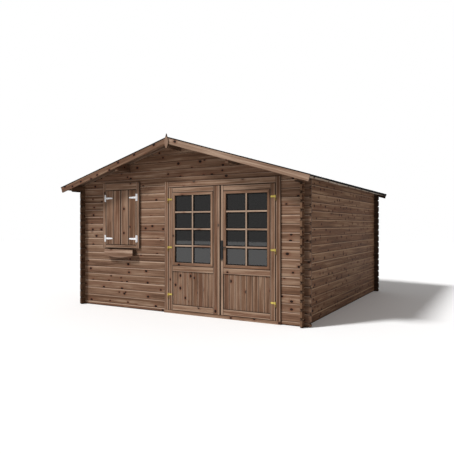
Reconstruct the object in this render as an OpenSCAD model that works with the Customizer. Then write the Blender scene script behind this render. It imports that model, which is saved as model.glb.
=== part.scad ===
// Log cabin of planed, tongued logs that interlock at notched corners, with a low gable roof,
// a pair of half glazed doors and a shuttered window over a flower box.
// Millimetres, +Z up, origin on the ground under the middle of the roof, front towards -Y.

/* [Walls] */
// Distance between the centrelines of the two side walls
wall_w = 4000; // [3600:10:4800]
// Distance between the centrelines of the front and back walls
wall_d = 4050; // [3000:10:5200]
// Reach of a log end past the centreline of the wall it crosses
log_end = 108; // [70:1:160]
// Thickness of a log
log_t = 28; // [24:1:44]
// Height of one course of logs
log_h = 120; // [112:1:130]
// Height of the half log that starts the front and back walls
start_h = 56; // [46:1:70]
// Courses above the half log up to the head of the doorway
head_courses = 16; // [15:1:18]
// Width of the bevel along each log edge, which makes the groove between courses
log_bevel = 5; // [2:0.5:7]
// Bevel at the top and bottom of each log end
end_bevel = 18; // [6:1:24]

/* [Roof] */
// Roof pitch in degrees
roof_pitch = 16.6; // [12:0.1:22]
// Reach of the roof past the centreline of a side wall
eave_out = 213; // [150:1:260]
// Reach of the roof boards in front of the front wall's centreline
front_out = 322; // [220:1:420]
// Reach of the roof boards behind the back wall's centreline
back_out = 214; // [150:1:320]
// Thickness of the roof boards
roof_board_t = 19; // [15:1:25]
// Thickness of the roofing felt
felt_t = 4; // [2:0.5:6]
// Depth of the felt that is turned down at an eave
felt_lip = 22; // [10:1:30]
// Width of a barge board
barge_w = 90; // [80:1:110]
// Thickness of a barge board
barge_t = 22; // [16:1:28]
// Depth of the fascia along an eave
fascia_h = 44; // [32:1:86]
// Thickness of the fascia
fascia_t = 18; // [14:1:24]
// Width of the shield board at the gable's peak
finial_w = 66; // [54:1:110]
// Height of the shield board at the gable's peak
finial_h = 210; // [180:1:240]
// Depth of the ridge beam
ridge_h = 140; // [110:1:160]
// Depth of a purlin
purlin_h = 120; // [90:1:140]
// Thickness of the ridge beam and purlins
purlin_t = 44; // [35:1:60]

/* [Doors] */
// Distance of the doorway's middle from the middle of the front wall
door_x = 704; // [640:1:740]
// Width between the door jambs
door_w = 1806; // [1700:1:1830]
// Distance of the gap between the leaves from the doorway's middle
meeting_x = 30; // [0:1:40]
// Thickness of a door leaf
leaf_t = 40; // [34:1:46]
// Width of a stile, and of a door's top rail
stile_w = 76; // [60:1:90]
// Height of the bottom rail
bottom_rail_h = 89; // [70:1:110]
// Height of the boarded panel
panel_h = 507; // [400:1:600]
// Height of the rail between panel and glass
mid_rail_h = 92; // [70:1:110]
// Width of the raised bead round a door's glass
bead_w = 45; // [30:1:55]
// Height of the door sill
sill_h = 44; // [30:1:60]
// Width of the trim boards round the doors
door_trim_w = 73; // [60:1:85]
// Width of the cover strip on the meeting edge
strip_w = 42; // [30:1:50]
// Height of the handle's spindle above the ground
handle_z = 1030; // [900:1:1100]

/* [Window] */
// Distance of the window's middle from the left wall's centreline
window_x = 845; // [800:1:900]
// Courses above the half log up to the window's sill
window_sill_courses = 8; // [7:1:9]
// Width of the window's hole in the logs
window_w = 590; // [520:1:610]
// Width covered by the pair of shutters
shutters_w = 646; // [630:1:660]
// Width of the trim boards at the window's sides
window_trim_w = 60; // [45:1:70]
// Height of the trim board over the shutters
window_head_h = 118; // [100:1:130]
// Height of the trim board under the shutters
window_foot_h = 52; // [40:1:60]
// Thickness of a shutter
shutter_t = 25; // [20:1:28]
// Length of a shutter's hinge arm
hinge_arm_l = 150; // [110:1:180]
// Width of the flower box
flower_box_w = 600; // [480:1:640]
// Depth of the flower box in front of the wall
flower_box_d = 92; // [80:1:140]
// Height of the flower box at its ends
flower_box_h = 96; // [80:1:130]

/* [Hidden] */

// Gap between pieces that are fixed to each other
seat = 0.4;
// Gap between a moving piece and what it passes
run_gap = 5;
// Gap between the meeting edges of two door leaves or two shutters
meeting_gap = 8;
// Reach of a cutting shape past what it cuts
over = 50;

// Tongue on a log's upper edge, and what a crossing log is notched by
tongue_h = 8;
tongue_share = 1 / 3;
tongue_t = log_t * tongue_share;
notch_share = 1 / 4;
notch_h = log_h * notch_share;
notch_half = log_t / 2 + seat;

// Heights of the walls
side_courses = head_courses + 1;
head_z = start_h + head_courses * log_h;
side_top = head_z + log_h / 2;
window_sill_z = start_h + window_sill_courses * log_h;

// Roof surfaces, with the ridge over the middle of the plan
rise_share = tan(roof_pitch);
roof_drop = roof_board_t / cos(roof_pitch);
ridge_under = side_top + wall_w / 2 * rise_share;
eave_x = wall_w / 2 + eave_out;
gable_courses = ceil((ridge_under - head_z) / log_h);

// Plan places along the depth
finial_t = 16;
finial_neck_share = 1 / 3;
finial_head_share = 0.17;
finial_above_share = 0.25;
finial_back_share = 0.04;
finial_turn = 180;
finial_steps = 16;
purlin_place_share = 1 / 4;
roof_l = front_out + wall_d + back_out;
front_y = front_out - roof_l / 2;
back_y = front_y + wall_d;
front_edge = front_y - front_out;
back_edge = back_y + back_out;
wall_face = front_y - log_t / 2;

// Door sizes that follow from the doorway
jamb_t = 40;
jamb_stop = 12;
jamb_reach = 16;
door_trim_t = 20;
trim_step = 17;
leaf_face = wall_face - seat - door_trim_t;
leaf_z = sill_h + run_gap;
leaf_top = head_z - seat - jamb_t - run_gap;
leaf_h = leaf_top - leaf_z;
jamb_left = door_x - door_w / 2;
jamb_right = door_x + door_w / 2;
doorway_left = jamb_left - jamb_t - seat;
doorway_right = jamb_right + jamb_t + seat;
meeting = door_x + meeting_x;
left_leaf = [jamb_left + run_gap, meeting - meeting_gap / 2];
right_leaf = [meeting + meeting_gap / 2, jamb_right - run_gap];
glass_z = leaf_z + bottom_rail_h + panel_h + mid_rail_h;
glass_top = leaf_top - stile_w;
bead_proud = 8;
glass_t = 4;
glass_set = 20;
panel_t = 16;
panel_set = 12;
strip_t = 12;
sill_step = 8;
sill_in = 30;

// Door hinges: a lower barrel with its pin on the frame and an upper one on the leaf
barrel_r = 8;
barrel_h = 38;
pin_r = 4;
pin_h = 26;
pin_gap = 0.06;
flap_w = 16;
flap_t = 4;
door_arm_h = 26;
door_arm_set = 4;
door_arm_l = stile_w - door_arm_set;
hinge_shares = [0.117, 0.502, 0.894];
hinge_y = leaf_face - barrel_r - seat;

// Door handle
plate_w = 40;
plate_h = 250;
plate_t = 5;
plate_foot = 60;
plate_edge = 22;
plate_below_share = 0.58;
lock_r = 9;
lock_l = 6;
lock_above = 62;
rose_r = 12;
rose_l = 26;
lever_l = 80;
lever_h = 18;
lever_tip_h = 12;
lever_t = 10;

// Window sizes that follow from its hole
window_trim_t = 30;
window_board_t = 24;
window_board_in = 14;
window_mid = window_x - wall_w / 2;
window_left = window_mid - window_w / 2;
window_right = window_mid + window_w / 2;
shutter_left = window_mid - shutters_w / 2;
shutter_right = window_mid + shutters_w / 2;
shutter_rise = 20;
shutter_drop = 50;
shutter_z = window_sill_z + shutter_rise;
shutter_top = head_z - shutter_drop;
shutter_h = shutter_top - shutter_z;
trim_face = wall_face - seat - window_trim_t;
trim_foot = shutter_z - run_gap - window_foot_h;
shutter_boards = 2;
shutter_groove = 4;

// Shutter hinges: a plate and barrel on the trim and a long arm on the shutter
arm_r = 6;
arm_root_h = 34;
arm_tip_h = 22;
arm_t = 3;
arm_plate_h = 112;
arm_plate_w = 26;
arm_plate_t = 3;
arm_barrel_share = 1 / 3;
arm_shares = [0.11, 0.86];
arm_y = trim_face - arm_r - seat;

// Flower box
box_board_t = 16;
box_belly = 32;
box_steps = 12;
box_drop = 22;

wood = [0.46, 0.36, 0.30];
pale_wood = [0.62, 0.51, 0.43];
dark_felt = [0.07, 0.07, 0.07];
brass = [0.80, 0.66, 0.25];
iron = [0.16, 0.16, 0.16];
white = [0.93, 0.93, 0.93];
pane = [0.35, 0.40, 0.42, 0.5];

// Height of the roof boards' underside and top at distance x from the ridge
function roof_under(x) = ridge_under - x * rise_share;
function roof_top(x) = roof_under(x) + roof_drop;

// Point on the roof at distance x from the ridge, moved n along the roof's normal
function roof_point(x, n) = [x + n * sin(roof_pitch), roof_top(x) + n * cos(roof_pitch)];

// Slice of a roof slope between normals n0 and n1, cut upright at x0 and square at x1
function slope_slice(x0, x1, n0, n1) = [
  [x0, roof_top(x0) + n0 / cos(roof_pitch)],
  roof_point(x1, n0),
  roof_point(x1, n1),
  [x0, roof_top(x0) + n1 / cos(roof_pitch)]
];

// Section of a log: bevelled edges, a tongue on top and, over another log, a groove below
function log_section(z0, z1, grooved) = concat(
  [[-log_t / 2, z0 + log_bevel], [-log_t / 2 + log_bevel, z0]],
  grooved ? [
    [-tongue_t / 2 - seat, z0], [-tongue_t / 2 - seat, z0 + tongue_h],
    [tongue_t / 2 + seat, z0 + tongue_h], [tongue_t / 2 + seat, z0]
  ] : [],
  [[log_t / 2 - log_bevel, z0], [log_t / 2, z0 + log_bevel], [log_t / 2, z1 - log_bevel],
   [log_t / 2 - log_bevel, z1], [tongue_t / 2, z1], [tongue_t / 2, z1 + tongue_h - seat],
   [-tongue_t / 2, z1 + tongue_h - seat], [-tongue_t / 2, z1],
   [-log_t / 2 + log_bevel, z1], [-log_t / 2, z1 - log_bevel]]
);

// Lower and upper corner of a log end at a: bevelled by e towards the log, or square where e is 0
function foot_end(a, z0, e) = e == 0 ? [[a, z0]] :
  e > 0 ? [[a, z0 + e], [a + e, z0]] : [[a + e, z0], [a, z0 - e]];
function head_end(a, z1, e) = e == 0 ? [[a, z1 + over]] :
  e > 0 ? [[a + e, z1 + over], [a + e, z1], [a, z1 - e]]
        : [[a, z1 + e], [a + e, z1], [a + e, z1 + over]];

// Side view of a log from a0 to a1 with notches below and above at each crossing wall
function log_outline(a0, a1, z0, z1, crossings, below, above, e0, e1) = concat(
  foot_end(a0, z0, e0),
  [for (c = crossings) if (below > 0) each [
    [c - notch_half, z0], [c - notch_half, z0 + below + seat / 2],
    [c + notch_half, z0 + below + seat / 2], [c + notch_half, z0]]],
  foot_end(a1, z0, -e1),
  head_end(a1, z1, -e1),
  [for (i = [len(crossings) - 1 : -1 : 0]) each [
    [crossings[i] + notch_half, z1 + over], [crossings[i] + notch_half, z1 - above - seat / 2],
    [crossings[i] - notch_half, z1 - above - seat / 2], [crossings[i] - notch_half, z1 + over]]],
  head_end(a0, z1, e0)
);

// Foot and top of course k of a front or back wall, counted from the half log
function cross_z0(k) = k == 0 ? 0 : start_h + (k - 1) * log_h;
function cross_z1(k) = start_h + k * log_h - seat;

// Foot and top of course k of a side wall
function side_z0(k) = k == 0 ? 0 : start_h + log_h / 2 + (k - 1) * log_h;
function side_z1(k) = start_h + log_h / 2 + k * log_h - seat;

// A log that runs along X on the wall line y, for course k
module cross_log(k, x0, x1, y, crossings, e0, e1) {
  z0 = cross_z0(k);
  z1 = cross_z1(k);
  below = k == 0 ? 0 : notch_h;
  translate([0, y, 0])
    intersection() {
      translate([x0 - over, 0, 0])
        rotate([90, 0, 90])
          linear_extrude(x1 - x0 + 2 * over)
            polygon(log_section(z0, z1, k > 0));
      translate([0, log_t, 0])
        rotate([90, 0, 0])
          linear_extrude(2 * log_t)
            polygon(log_outline(x0, x1, z0, z1, crossings, below, notch_h - seat, e0, e1));
    }
}

// Courses from k0 to k1 of a front or back wall
module cross_courses(k0, k1, x0, x1, y, crossings, e0, e1)
  for (k = [k0 : k1])
    cross_log(k, x0, x1, y, crossings, e0, e1);

// A log that runs along Y on the wall line x, for course k
module side_log(k, x) {
  z0 = side_z0(k);
  z1 = side_z1(k);
  below = k == 0 ? start_h - notch_h : notch_h;
  translate([x, 0, 0])
    intersection() {
      translate([0, back_y + log_end + over, 0])
        rotate([90, 0, 0])
          linear_extrude(wall_d + 2 * (log_end + over))
            polygon(log_section(z0, z1, k > 0));
      translate([-log_t, 0, 0])
        rotate([90, 0, 90])
          linear_extrude(2 * log_t)
            polygon(log_outline(front_y - log_end, back_y + log_end, z0, z1,
                                [front_y, back_y], below, notch_h - seat, end_bevel, end_bevel));
    }
}

// Section of the top log of a side wall, bevelled to the roof; the roof rises towards -X here
function plate_section(z0) = [
  [-log_t / 2, z0 + log_bevel], [-log_t / 2 + log_bevel, z0],
  [-tongue_t / 2 - seat, z0], [-tongue_t / 2 - seat, z0 + tongue_h],
  [tongue_t / 2 + seat, z0 + tongue_h], [tongue_t / 2 + seat, z0],
  [log_t / 2 - log_bevel, z0], [log_t / 2, z0 + log_bevel],
  [log_t / 2, roof_under(wall_w / 2 + log_t / 2) - seat],
  [-log_t / 2, roof_under(wall_w / 2 - log_t / 2) - seat]
];

// Side view of the top log, which runs on under the overhangs and is cut back at its lower corners
function plate_outline(z0, z1) = let (cut = log_h / 2, y0 = front_edge + seat, y1 = back_edge - seat) [
  [y0, z0 + cut], [y0 + cut / 2, z0],
  [front_y - notch_half, z0], [front_y - notch_half, z0 + notch_h + seat / 2],
  [front_y + notch_half, z0 + notch_h + seat / 2], [front_y + notch_half, z0],
  [back_y - notch_half, z0], [back_y - notch_half, z0 + notch_h + seat / 2],
  [back_y + notch_half, z0 + notch_h + seat / 2], [back_y + notch_half, z0],
  [y1 - cut / 2, z0], [y1, z0 + cut], [y1, z1 + over],
  [back_y + notch_half, z1 + over], [back_y + notch_half, z1 - notch_h - seat / 2],
  [back_y - notch_half, z1 - notch_h - seat / 2], [back_y - notch_half, z1 + over],
  [front_y + notch_half, z1 + over], [front_y + notch_half, z1 - notch_h - seat / 2],
  [front_y - notch_half, z1 - notch_h - seat / 2], [front_y - notch_half, z1 + over],
  [y0, z1 + over]
];

// The right side wall: plain courses and the long top log
module side_wall() {
  top = side_courses - 1;
  for (k = [0 : top - 1])
    side_log(k, wall_w / 2);
  translate([wall_w / 2, 0, 0])
    intersection() {
      translate([0, back_edge + over, 0])
        rotate([90, 0, 0])
          linear_extrude(roof_l + 2 * over)
            polygon(plate_section(side_z0(top)));
      translate([-log_t, 0, 0])
        rotate([90, 0, 90])
          linear_extrude(2 * log_t)
            polygon(plate_outline(side_z0(top), side_top));
    }
}

// Upright outline of a gable under the roof boards
function gable_outline() = let (reach = wall_w / 2 + log_end + over) [
  [-reach, head_z - over], [reach, head_z - over],
  [reach, roof_under(reach) - seat], [0, roof_under(0) - seat], [-reach, roof_under(reach) - seat]
];

// Space of the ridge beam and purlins, grown by g on each side
module beam_space(g) {
  ridge_profile(g);
  for (s = [-1, 1])
    purlin_profile(s, g);
}

// Logs over the head of the doorway, cut to the roof and notched for the beams
module gable(y) {
  reach = wall_w / 2 + log_end;
  difference() {
    intersection() {
      for (k = [0 : gable_courses - 1])
        cross_log(head_courses + 1 + k, -reach, reach, y,
                  k == 0 ? [-wall_w / 2, wall_w / 2] : [], k == 0 ? end_bevel : 0, k == 0 ? end_bevel : 0);
      translate([0, y + log_t, 0])
        rotate([90, 0, 0])
          linear_extrude(2 * log_t)
            polygon(gable_outline());
    }
    translate([0, y + log_t, 0])
      rotate([90, 0, 0])
        linear_extrude(2 * log_t)
          beam_space(seat);
  }
}

// Section of the ridge beam, its top cut to both slopes, grown by g
module ridge_profile(g) {
  half = purlin_t / 2 + g;
  foot = ridge_under - ridge_h - g;
  top = g == 0 ? -seat : over;
  polygon([[-half, foot], [half, foot], [half, roof_under(half) + top],
           [0, roof_under(0) + top], [-half, roof_under(half) + top]]);
}

// Section of the purlin on side s, its top cut to the slope, grown by g
module purlin_profile(s, g) {
  x = wall_w * purlin_place_share;
  half = purlin_t / 2 + g;
  foot = roof_under(x) - purlin_h - g;
  top = g == 0 ? -seat : over;
  polygon([[s * (x - half), foot], [s * (x + half), foot],
           [s * (x + half), roof_under(x + half) + top], [s * (x - half), roof_under(x - half) + top]]);
}

// A profile in the front view carried from y0 to y1
module along(y0, y1)
  translate([0, y1, 0])
    rotate([90, 0, 0])
      linear_extrude(y1 - y0)
        children();

// Half of the roof boards, fascia, felt and barge boards, on the right of the ridge
module roof_boards()
  along(front_edge, back_edge)
    polygon(slope_slice(seat, eave_x - (fascia_t + seat) * cos(roof_pitch), -roof_board_t, 0));

module fascia() {
  inner = eave_x - fascia_t * cos(roof_pitch);
  along(front_edge + seat, back_edge - seat)
    polygon([roof_point(inner, -fascia_h), roof_point(eave_x, -fascia_h),
             roof_point(eave_x, 0), roof_point(inner, 0)]);
}

module barge_board()
  polygon(slope_slice(seat, eave_x, -barge_w, 0));

// Felt over the boards and the barge boards, turned down at the eave
module felt() {
  edge = eave_x + (seat + felt_t) * cos(roof_pitch);
  y0 = front_edge - seat - barge_t - seat;
  y1 = back_edge + seat + barge_t + seat;
  along(y0, y1)
    polygon([
      [seat, roof_top(seat) + seat], roof_point(edge - felt_t * cos(roof_pitch), seat),
      roof_point(edge - felt_t * cos(roof_pitch), -felt_lip), roof_point(edge, -felt_lip),
      roof_point(edge, seat + felt_t), [seat, roof_top(seat) + (seat + felt_t) / cos(roof_pitch)]
    ]);
}

// Felt strip bent over the ridge
module ridge_strip() {
  half = eave_out;
  low = (2 * seat + felt_t) / cos(roof_pitch);
  high = (2 * seat + 2 * felt_t) / cos(roof_pitch);
  y0 = front_edge - seat - barge_t - seat;
  y1 = back_edge + seat + barge_t + seat;
  along(y0, y1)
    polygon([
      [-half, roof_top(half) + low], [0, roof_top(0) + low], [half, roof_top(half) + low],
      [half, roof_top(half) + high], [0, roof_top(0) + high], [-half, roof_top(half) + high]
    ]);
}

// Shield board at the peak: a pointed head on a neck, and sides that swell and close in again to the foot.
// A share of its height stands above the roof
module finial_profile(above_share) {
  head = finial_h * finial_head_share;
  low = finial_h - head;
  top = roof_top(0) + finial_h * above_share;
  neck = finial_w / 2 * finial_neck_share;
  swell = finial_w / 2 - neck;
  side = [for (i = [0 : finial_steps]) let (u = i / finial_steps)
    [neck + swell * sin(finial_turn * u), top - head - low * u]];
  polygon(concat(
    [[0, top]],
    [for (p = side) [-p[0], p[1]]],
    [for (i = [finial_steps : -1 : 0]) side[i]]
  ));
}

// Upright plank from corner a to corner b
module plank(a, b)
  translate(a)
    cube(b - a);

module front_wall_sill() {
  color(wood)
    cross_courses(0, window_sill_courses, -wall_w / 2 - log_end, doorway_left, front_y,
                  [-wall_w / 2], end_bevel, 0);
}

module front_wall_left() {
  color(wood)
    cross_courses(window_sill_courses + 1, head_courses, -wall_w / 2 - log_end, window_left, front_y,
                  [-wall_w / 2], end_bevel, 0);
}

module front_wall_pier() {
  color(wood)
    cross_courses(window_sill_courses + 1, head_courses, window_right, doorway_left, front_y, [], 0, 0);
}

module front_wall_right() {
  color(wood)
    cross_courses(0, head_courses, doorway_right, wall_w / 2 + log_end, front_y,
                  [wall_w / 2], 0, end_bevel);
}

module front_gable() {
  color(wood)
    gable(front_y);
}

module back_wall() {
  color(wood)
    cross_courses(0, head_courses, -wall_w / 2 - log_end, wall_w / 2 + log_end, back_y,
                  [-wall_w / 2, wall_w / 2], end_bevel, end_bevel);
}

module back_gable() {
  color(wood)
    gable(back_y);
}

module left_wall() {
  color(wood)
    mirror([1, 0, 0])
      side_wall();
}

module right_wall() {
  color(wood)
    side_wall();
}

module ridge_beam() {
  color(wood)
    along(front_edge + seat, back_edge - seat)
      ridge_profile(0);
}

module purlins() {
  color(wood)
    for (s = [-1, 1])
      along(front_edge + seat, back_edge - seat)
        purlin_profile(s, 0);
}

module left_roof_boards() {
  color(pale_wood)
    mirror([1, 0, 0])
      roof_boards();
}

module right_roof_boards() {
  color(pale_wood)
    roof_boards();
}

module left_felt() {
  color(dark_felt)
    mirror([1, 0, 0])
      felt();
}

module right_felt() {
  color(dark_felt)
    felt();
}

module ridge_felt() {
  color(dark_felt)
    ridge_strip();
}

module front_barge_boards() {
  color(pale_wood)
    for (m = [0, 1])
      mirror([m, 0, 0])
        along(front_edge - seat - barge_t, front_edge - seat)
          barge_board();
}

module back_barge_boards() {
  color(pale_wood)
    for (m = [0, 1])
      mirror([m, 0, 0])
        along(back_edge + seat, back_edge + seat + barge_t)
          barge_board();
}

module front_finial() {
  y = front_edge - 2 * seat - barge_t;
  color(pale_wood)
    along(y - finial_t, y)
      finial_profile(finial_above_share);
}

module back_finial() {
  y = back_edge + 2 * seat + barge_t;
  color(pale_wood)
    along(y, y + finial_t)
      finial_profile(finial_back_share);
}

module left_fascia() {
  color(pale_wood)
    mirror([1, 0, 0])
      fascia();
}

module right_fascia() {
  color(pale_wood)
    fascia();
}

// Jamb on side s of the doorway, with a stop behind the leaf
module jamb(x, s) {
  y0 = wall_face;
  stop = leaf_face + leaf_t + run_gap;
  y1 = front_y + log_t / 2 + jamb_reach;
  translate([0, 0, sill_h + seat])
    linear_extrude(head_z - seat - jamb_t - seat - sill_h - seat)
      polygon([[x, y0], [x - s * jamb_t, y0], [x - s * jamb_t, y1], [x + s * jamb_stop, y1],
               [x + s * jamb_stop, stop], [x, stop]]);
}

// Both jambs, and the head with its own stop between theirs
module door_frame() {
  stop = leaf_face + leaf_t + run_gap;
  y1 = front_y + log_t / 2 + jamb_reach;
  under = head_z - seat - jamb_t;
  color(wood) {
    jamb(jamb_left, 1);
    jamb(jamb_right, -1);
    plank([jamb_left - jamb_t, wall_face, under], [jamb_right + jamb_t, y1, under + jamb_t]);
    plank([jamb_left + jamb_stop + seat, stop, under - jamb_stop],
          [jamb_right - jamb_stop - seat, y1, under + jamb_t]);
  }
}

module door_trim() {
  y0 = leaf_face;
  y1 = leaf_face + door_trim_t;
  top = head_z - seat - jamb_t;
  color(wood) {
    plank([jamb_left - door_trim_w, y0, sill_h + seat], [jamb_left, y1, top + door_trim_w + trim_step]);
    plank([jamb_right, y0, sill_h + seat], [jamb_right + door_trim_w, y1, top + door_trim_w + trim_step]);
    plank([jamb_left + seat, y0, top], [jamb_right - seat, y1, top + door_trim_w + trim_step]);
  }
}

module door_sill() {
  y0 = leaf_face - sill_step;
  y1 = wall_face - seat;
  y2 = front_y + sill_in;
  color(wood)
    linear_extrude(sill_h)
      polygon([[jamb_left - door_trim_w, y0], [jamb_right + door_trim_w, y0],
               [jamb_right + door_trim_w, y1], [jamb_right + jamb_t, y1], [jamb_right + jamb_t, y2],
               [jamb_left - jamb_t, y2], [jamb_left - jamb_t, y1], [jamb_left - door_trim_w, y1]]);
}

// Places of a leaf's hinges, from the leaf's foot
function hinge_z(i) = leaf_z + leaf_h * hinge_shares[i];

// Lower half of a hinge on the axis at x, with its flap towards s and its pin standing up
module hinge_post(x, s)
  for (i = [0 : len(hinge_shares) - 1])
    translate([x, hinge_y, hinge_z(i)]) {
      translate([0, 0, -barrel_h])
        cylinder(r = barrel_r, h = barrel_h, $fn = 48);
      cylinder(r = pin_r, h = pin_h, $fn = 48);
      translate([s > 0 ? 0 : -flap_w, barrel_r - flap_t, -barrel_h])
        cube([flap_w, flap_t, barrel_h]);
    }

// Upper half of a hinge on the axis at x, with its bore over the pin and a round-ended arm towards s
module hinge_cap(x, s)
  for (i = [0 : len(hinge_shares) - 1])
    translate([x, hinge_y, hinge_z(i) + seat])
      difference() {
        union() {
          cylinder(r = barrel_r, h = barrel_h, $fn = 48);
          translate([0, barrel_r, 0])
            rotate([90, 0, 0])
              linear_extrude(flap_t) {
                polygon([[0, 0], [s * flap_w, (barrel_h - door_arm_h) / 2],
                         [s * (door_arm_l - door_arm_h / 2), (barrel_h - door_arm_h) / 2],
                         [s * (door_arm_l - door_arm_h / 2), (barrel_h + door_arm_h) / 2],
                         [s * flap_w, (barrel_h + door_arm_h) / 2], [0, barrel_h]]);
                translate([s * (door_arm_l - door_arm_h / 2), barrel_h / 2])
                  circle(d = door_arm_h, $fn = 48);
              }
        }
        translate([0, 0, -over])
          cylinder(r = pin_r + pin_gap, h = over + pin_h + seat, $fn = 48);
      }

// Axes of the two leaves, in the gaps at their outer edges
left_axis = jamb_left + run_gap / 2;
right_axis = jamb_right - run_gap / 2;

module door_hinge_posts() {
  color(brass) {
    hinge_post(left_axis, -1);
    hinge_post(right_axis, 1);
  }
}

module left_door_hinges() {
  color(brass)
    hinge_cap(left_axis, 1);
}

module right_door_hinges() {
  color(brass)
    hinge_cap(right_axis, -1);
}

// Stiles and rails of a leaf; the stiles are as wide as the values given
module leaf_frame(x0, x1, wide_left, wide_right) {
  y0 = leaf_face;
  y1 = leaf_face + leaf_t;
  inner0 = x0 + wide_left + seat;
  inner1 = x1 - wide_right - seat;
  panel_z = leaf_z + bottom_rail_h;
  plank([x0, y0, leaf_z], [x0 + wide_left, y1, leaf_top]);
  plank([x1 - wide_right, y0, leaf_z], [x1, y1, leaf_top]);
  plank([inner0, y0, leaf_z], [inner1, y1, panel_z]);
  plank([inner0, y0, panel_z + panel_h], [inner1, y1, glass_z]);
  plank([inner0, y0, glass_top], [inner1, y1, leaf_top]);
}

// Raised bead round a leaf's glass, in four mitreless lengths
module leaf_bead(x0, x1) {
  y0 = leaf_face - bead_proud;
  y1 = leaf_face + leaf_t;
  a = x0 + seat;
  b = x1 - seat;
  z0 = glass_z + seat;
  z1 = glass_top - seat;
  plank([a, y0, z0], [a + bead_w, y1, z1]);
  plank([b - bead_w, y0, z0], [b, y1, z1]);
  plank([a + bead_w + seat, y0, z0], [b - bead_w - seat, y1, z0 + bead_w]);
  plank([a + bead_w + seat, y0, z1 - bead_w], [b - bead_w - seat, y1, z1]);
}

// Sheet of glass inside a leaf's bead
module leaf_glass(x0, x1) {
  y0 = leaf_face + glass_set;
  plank([x0 + bead_w + 2 * seat, y0, glass_z + bead_w + 2 * seat],
        [x1 - bead_w - 2 * seat, y0 + glass_t, glass_top - bead_w - 2 * seat]);
}

// Boarded panel below the middle rail
module leaf_panel(x0, x1) {
  y0 = leaf_face + panel_set;
  panel_z = leaf_z + bottom_rail_h;
  plank([x0 + seat, y0, panel_z + seat], [x1 - seat, y0 + panel_t, panel_z + panel_h - seat]);
}

// Clear span between the stiles of each leaf; the stile under the cover strip is wider by the strip
left_span = [left_leaf[0] + stile_w, left_leaf[1] - stile_w - strip_w];
right_span = [right_leaf[0] + stile_w - meeting_x, right_leaf[1] - stile_w];

module left_door_frame() {
  color(wood)
    leaf_frame(left_leaf[0], left_leaf[1], stile_w, stile_w + strip_w);
}

module left_door_bead() {
  color(pale_wood)
    leaf_bead(left_span[0], left_span[1]);
}

module left_door_glass() {
  color(pane)
    leaf_glass(left_span[0], left_span[1]);
}

module left_door_panel() {
  color(wood)
    leaf_panel(left_span[0], left_span[1]);
}

module door_cover_strip() {
  y1 = leaf_face - seat;
  color(pale_wood)
    plank([left_leaf[1] - strip_w, y1 - strip_t, leaf_z], [left_leaf[1], y1, leaf_top]);
}

module right_door_frame() {
  color(wood)
    leaf_frame(right_leaf[0], right_leaf[1], stile_w - meeting_x, stile_w);
}

module right_door_bead() {
  color(pale_wood)
    leaf_bead(right_span[0], right_span[1]);
}

module right_door_glass() {
  color(pane)
    leaf_glass(right_span[0], right_span[1]);
}

module right_door_panel() {
  color(wood)
    leaf_panel(right_span[0], right_span[1]);
}

// Handle on the meeting stile: a long plate with a round head, a pointed foot and a lock boss,
// and a tapered lever on its spindle
handle_x = right_leaf[0] + plate_edge;

module handle_plate() {
  y1 = leaf_face - seat;
  foot = handle_z - plate_h * plate_below_share;
  head = foot + plate_h - plate_w / 2;
  color(iron) {
    along(y1 - plate_t, y1) {
      polygon([[handle_x, foot - plate_foot], [handle_x + plate_w / 2, foot],
               [handle_x + plate_w / 2, head], [handle_x - plate_w / 2, head],
               [handle_x - plate_w / 2, foot]]);
      translate([handle_x, head])
        circle(d = plate_w, $fn = 48);
    }
    translate([handle_x, y1 - plate_t / 2, handle_z + lock_above])
      rotate([90, 0, 0])
        cylinder(r = lock_r, h = lock_l, $fn = 48);
  }
}

module handle_lever() {
  y1 = leaf_face - plate_t - 2 * seat;
  end = lever_l - lever_tip_h / 2;
  color(iron)
    translate([handle_x, y1, handle_z])
      rotate([90, 0, 0]) {
        cylinder(r = rose_r, h = rose_l, $fn = 48);
        translate([0, 0, rose_l - lever_t])
          linear_extrude(lever_t) {
            polygon([[0, -lever_h / 2], [end, -lever_tip_h / 2], [end, lever_tip_h / 2], [0, lever_h / 2]]);
            translate([end, 0])
              circle(d = lever_tip_h, $fn = 48);
          }
      }
}

// Lining of the window's hole
module window_frame() {
  y0 = wall_face;
  y1 = front_y + log_t / 2 + window_board_in;
  a = window_left + seat;
  b = window_right - seat;
  z0 = window_sill_z + tongue_h;
  z1 = head_z - seat;
  color(wood) {
    plank([a, y0, z0], [a + window_board_t, y1, z1]);
    plank([b - window_board_t, y0, z0], [b, y1, z1]);
    plank([a + window_board_t + seat, y0, z0], [b - window_board_t - seat, y1, z0 + window_board_t]);
    plank([a + window_board_t + seat, y0, z1 - window_board_t], [b - window_board_t - seat, y1, z1]);
  }
}

module window_glass() {
  edge = window_board_t + 2 * seat;
  color(pane)
    plank([window_left + edge, front_y, window_sill_z + tongue_h + edge - seat],
          [window_right - edge, front_y + glass_t, head_z - seat - edge]);
}

// Boards on the wall round the shutters
module window_trim() {
  y0 = trim_face;
  y1 = trim_face + window_trim_t;
  a = shutter_left - run_gap;
  b = shutter_right + run_gap;
  z0 = trim_foot;
  z1 = shutter_top + run_gap + window_head_h;
  color(wood) {
    plank([a - window_trim_w, y0, z0], [a, y1, z1]);
    plank([b, y0, z0], [b + window_trim_w, y1, z1]);
    plank([a + seat, y0, z0], [b - seat, y1, z0 + window_foot_h]);
    plank([a + seat, y0, z1 - window_head_h], [b - seat, y1, z1]);
  }
}

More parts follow.
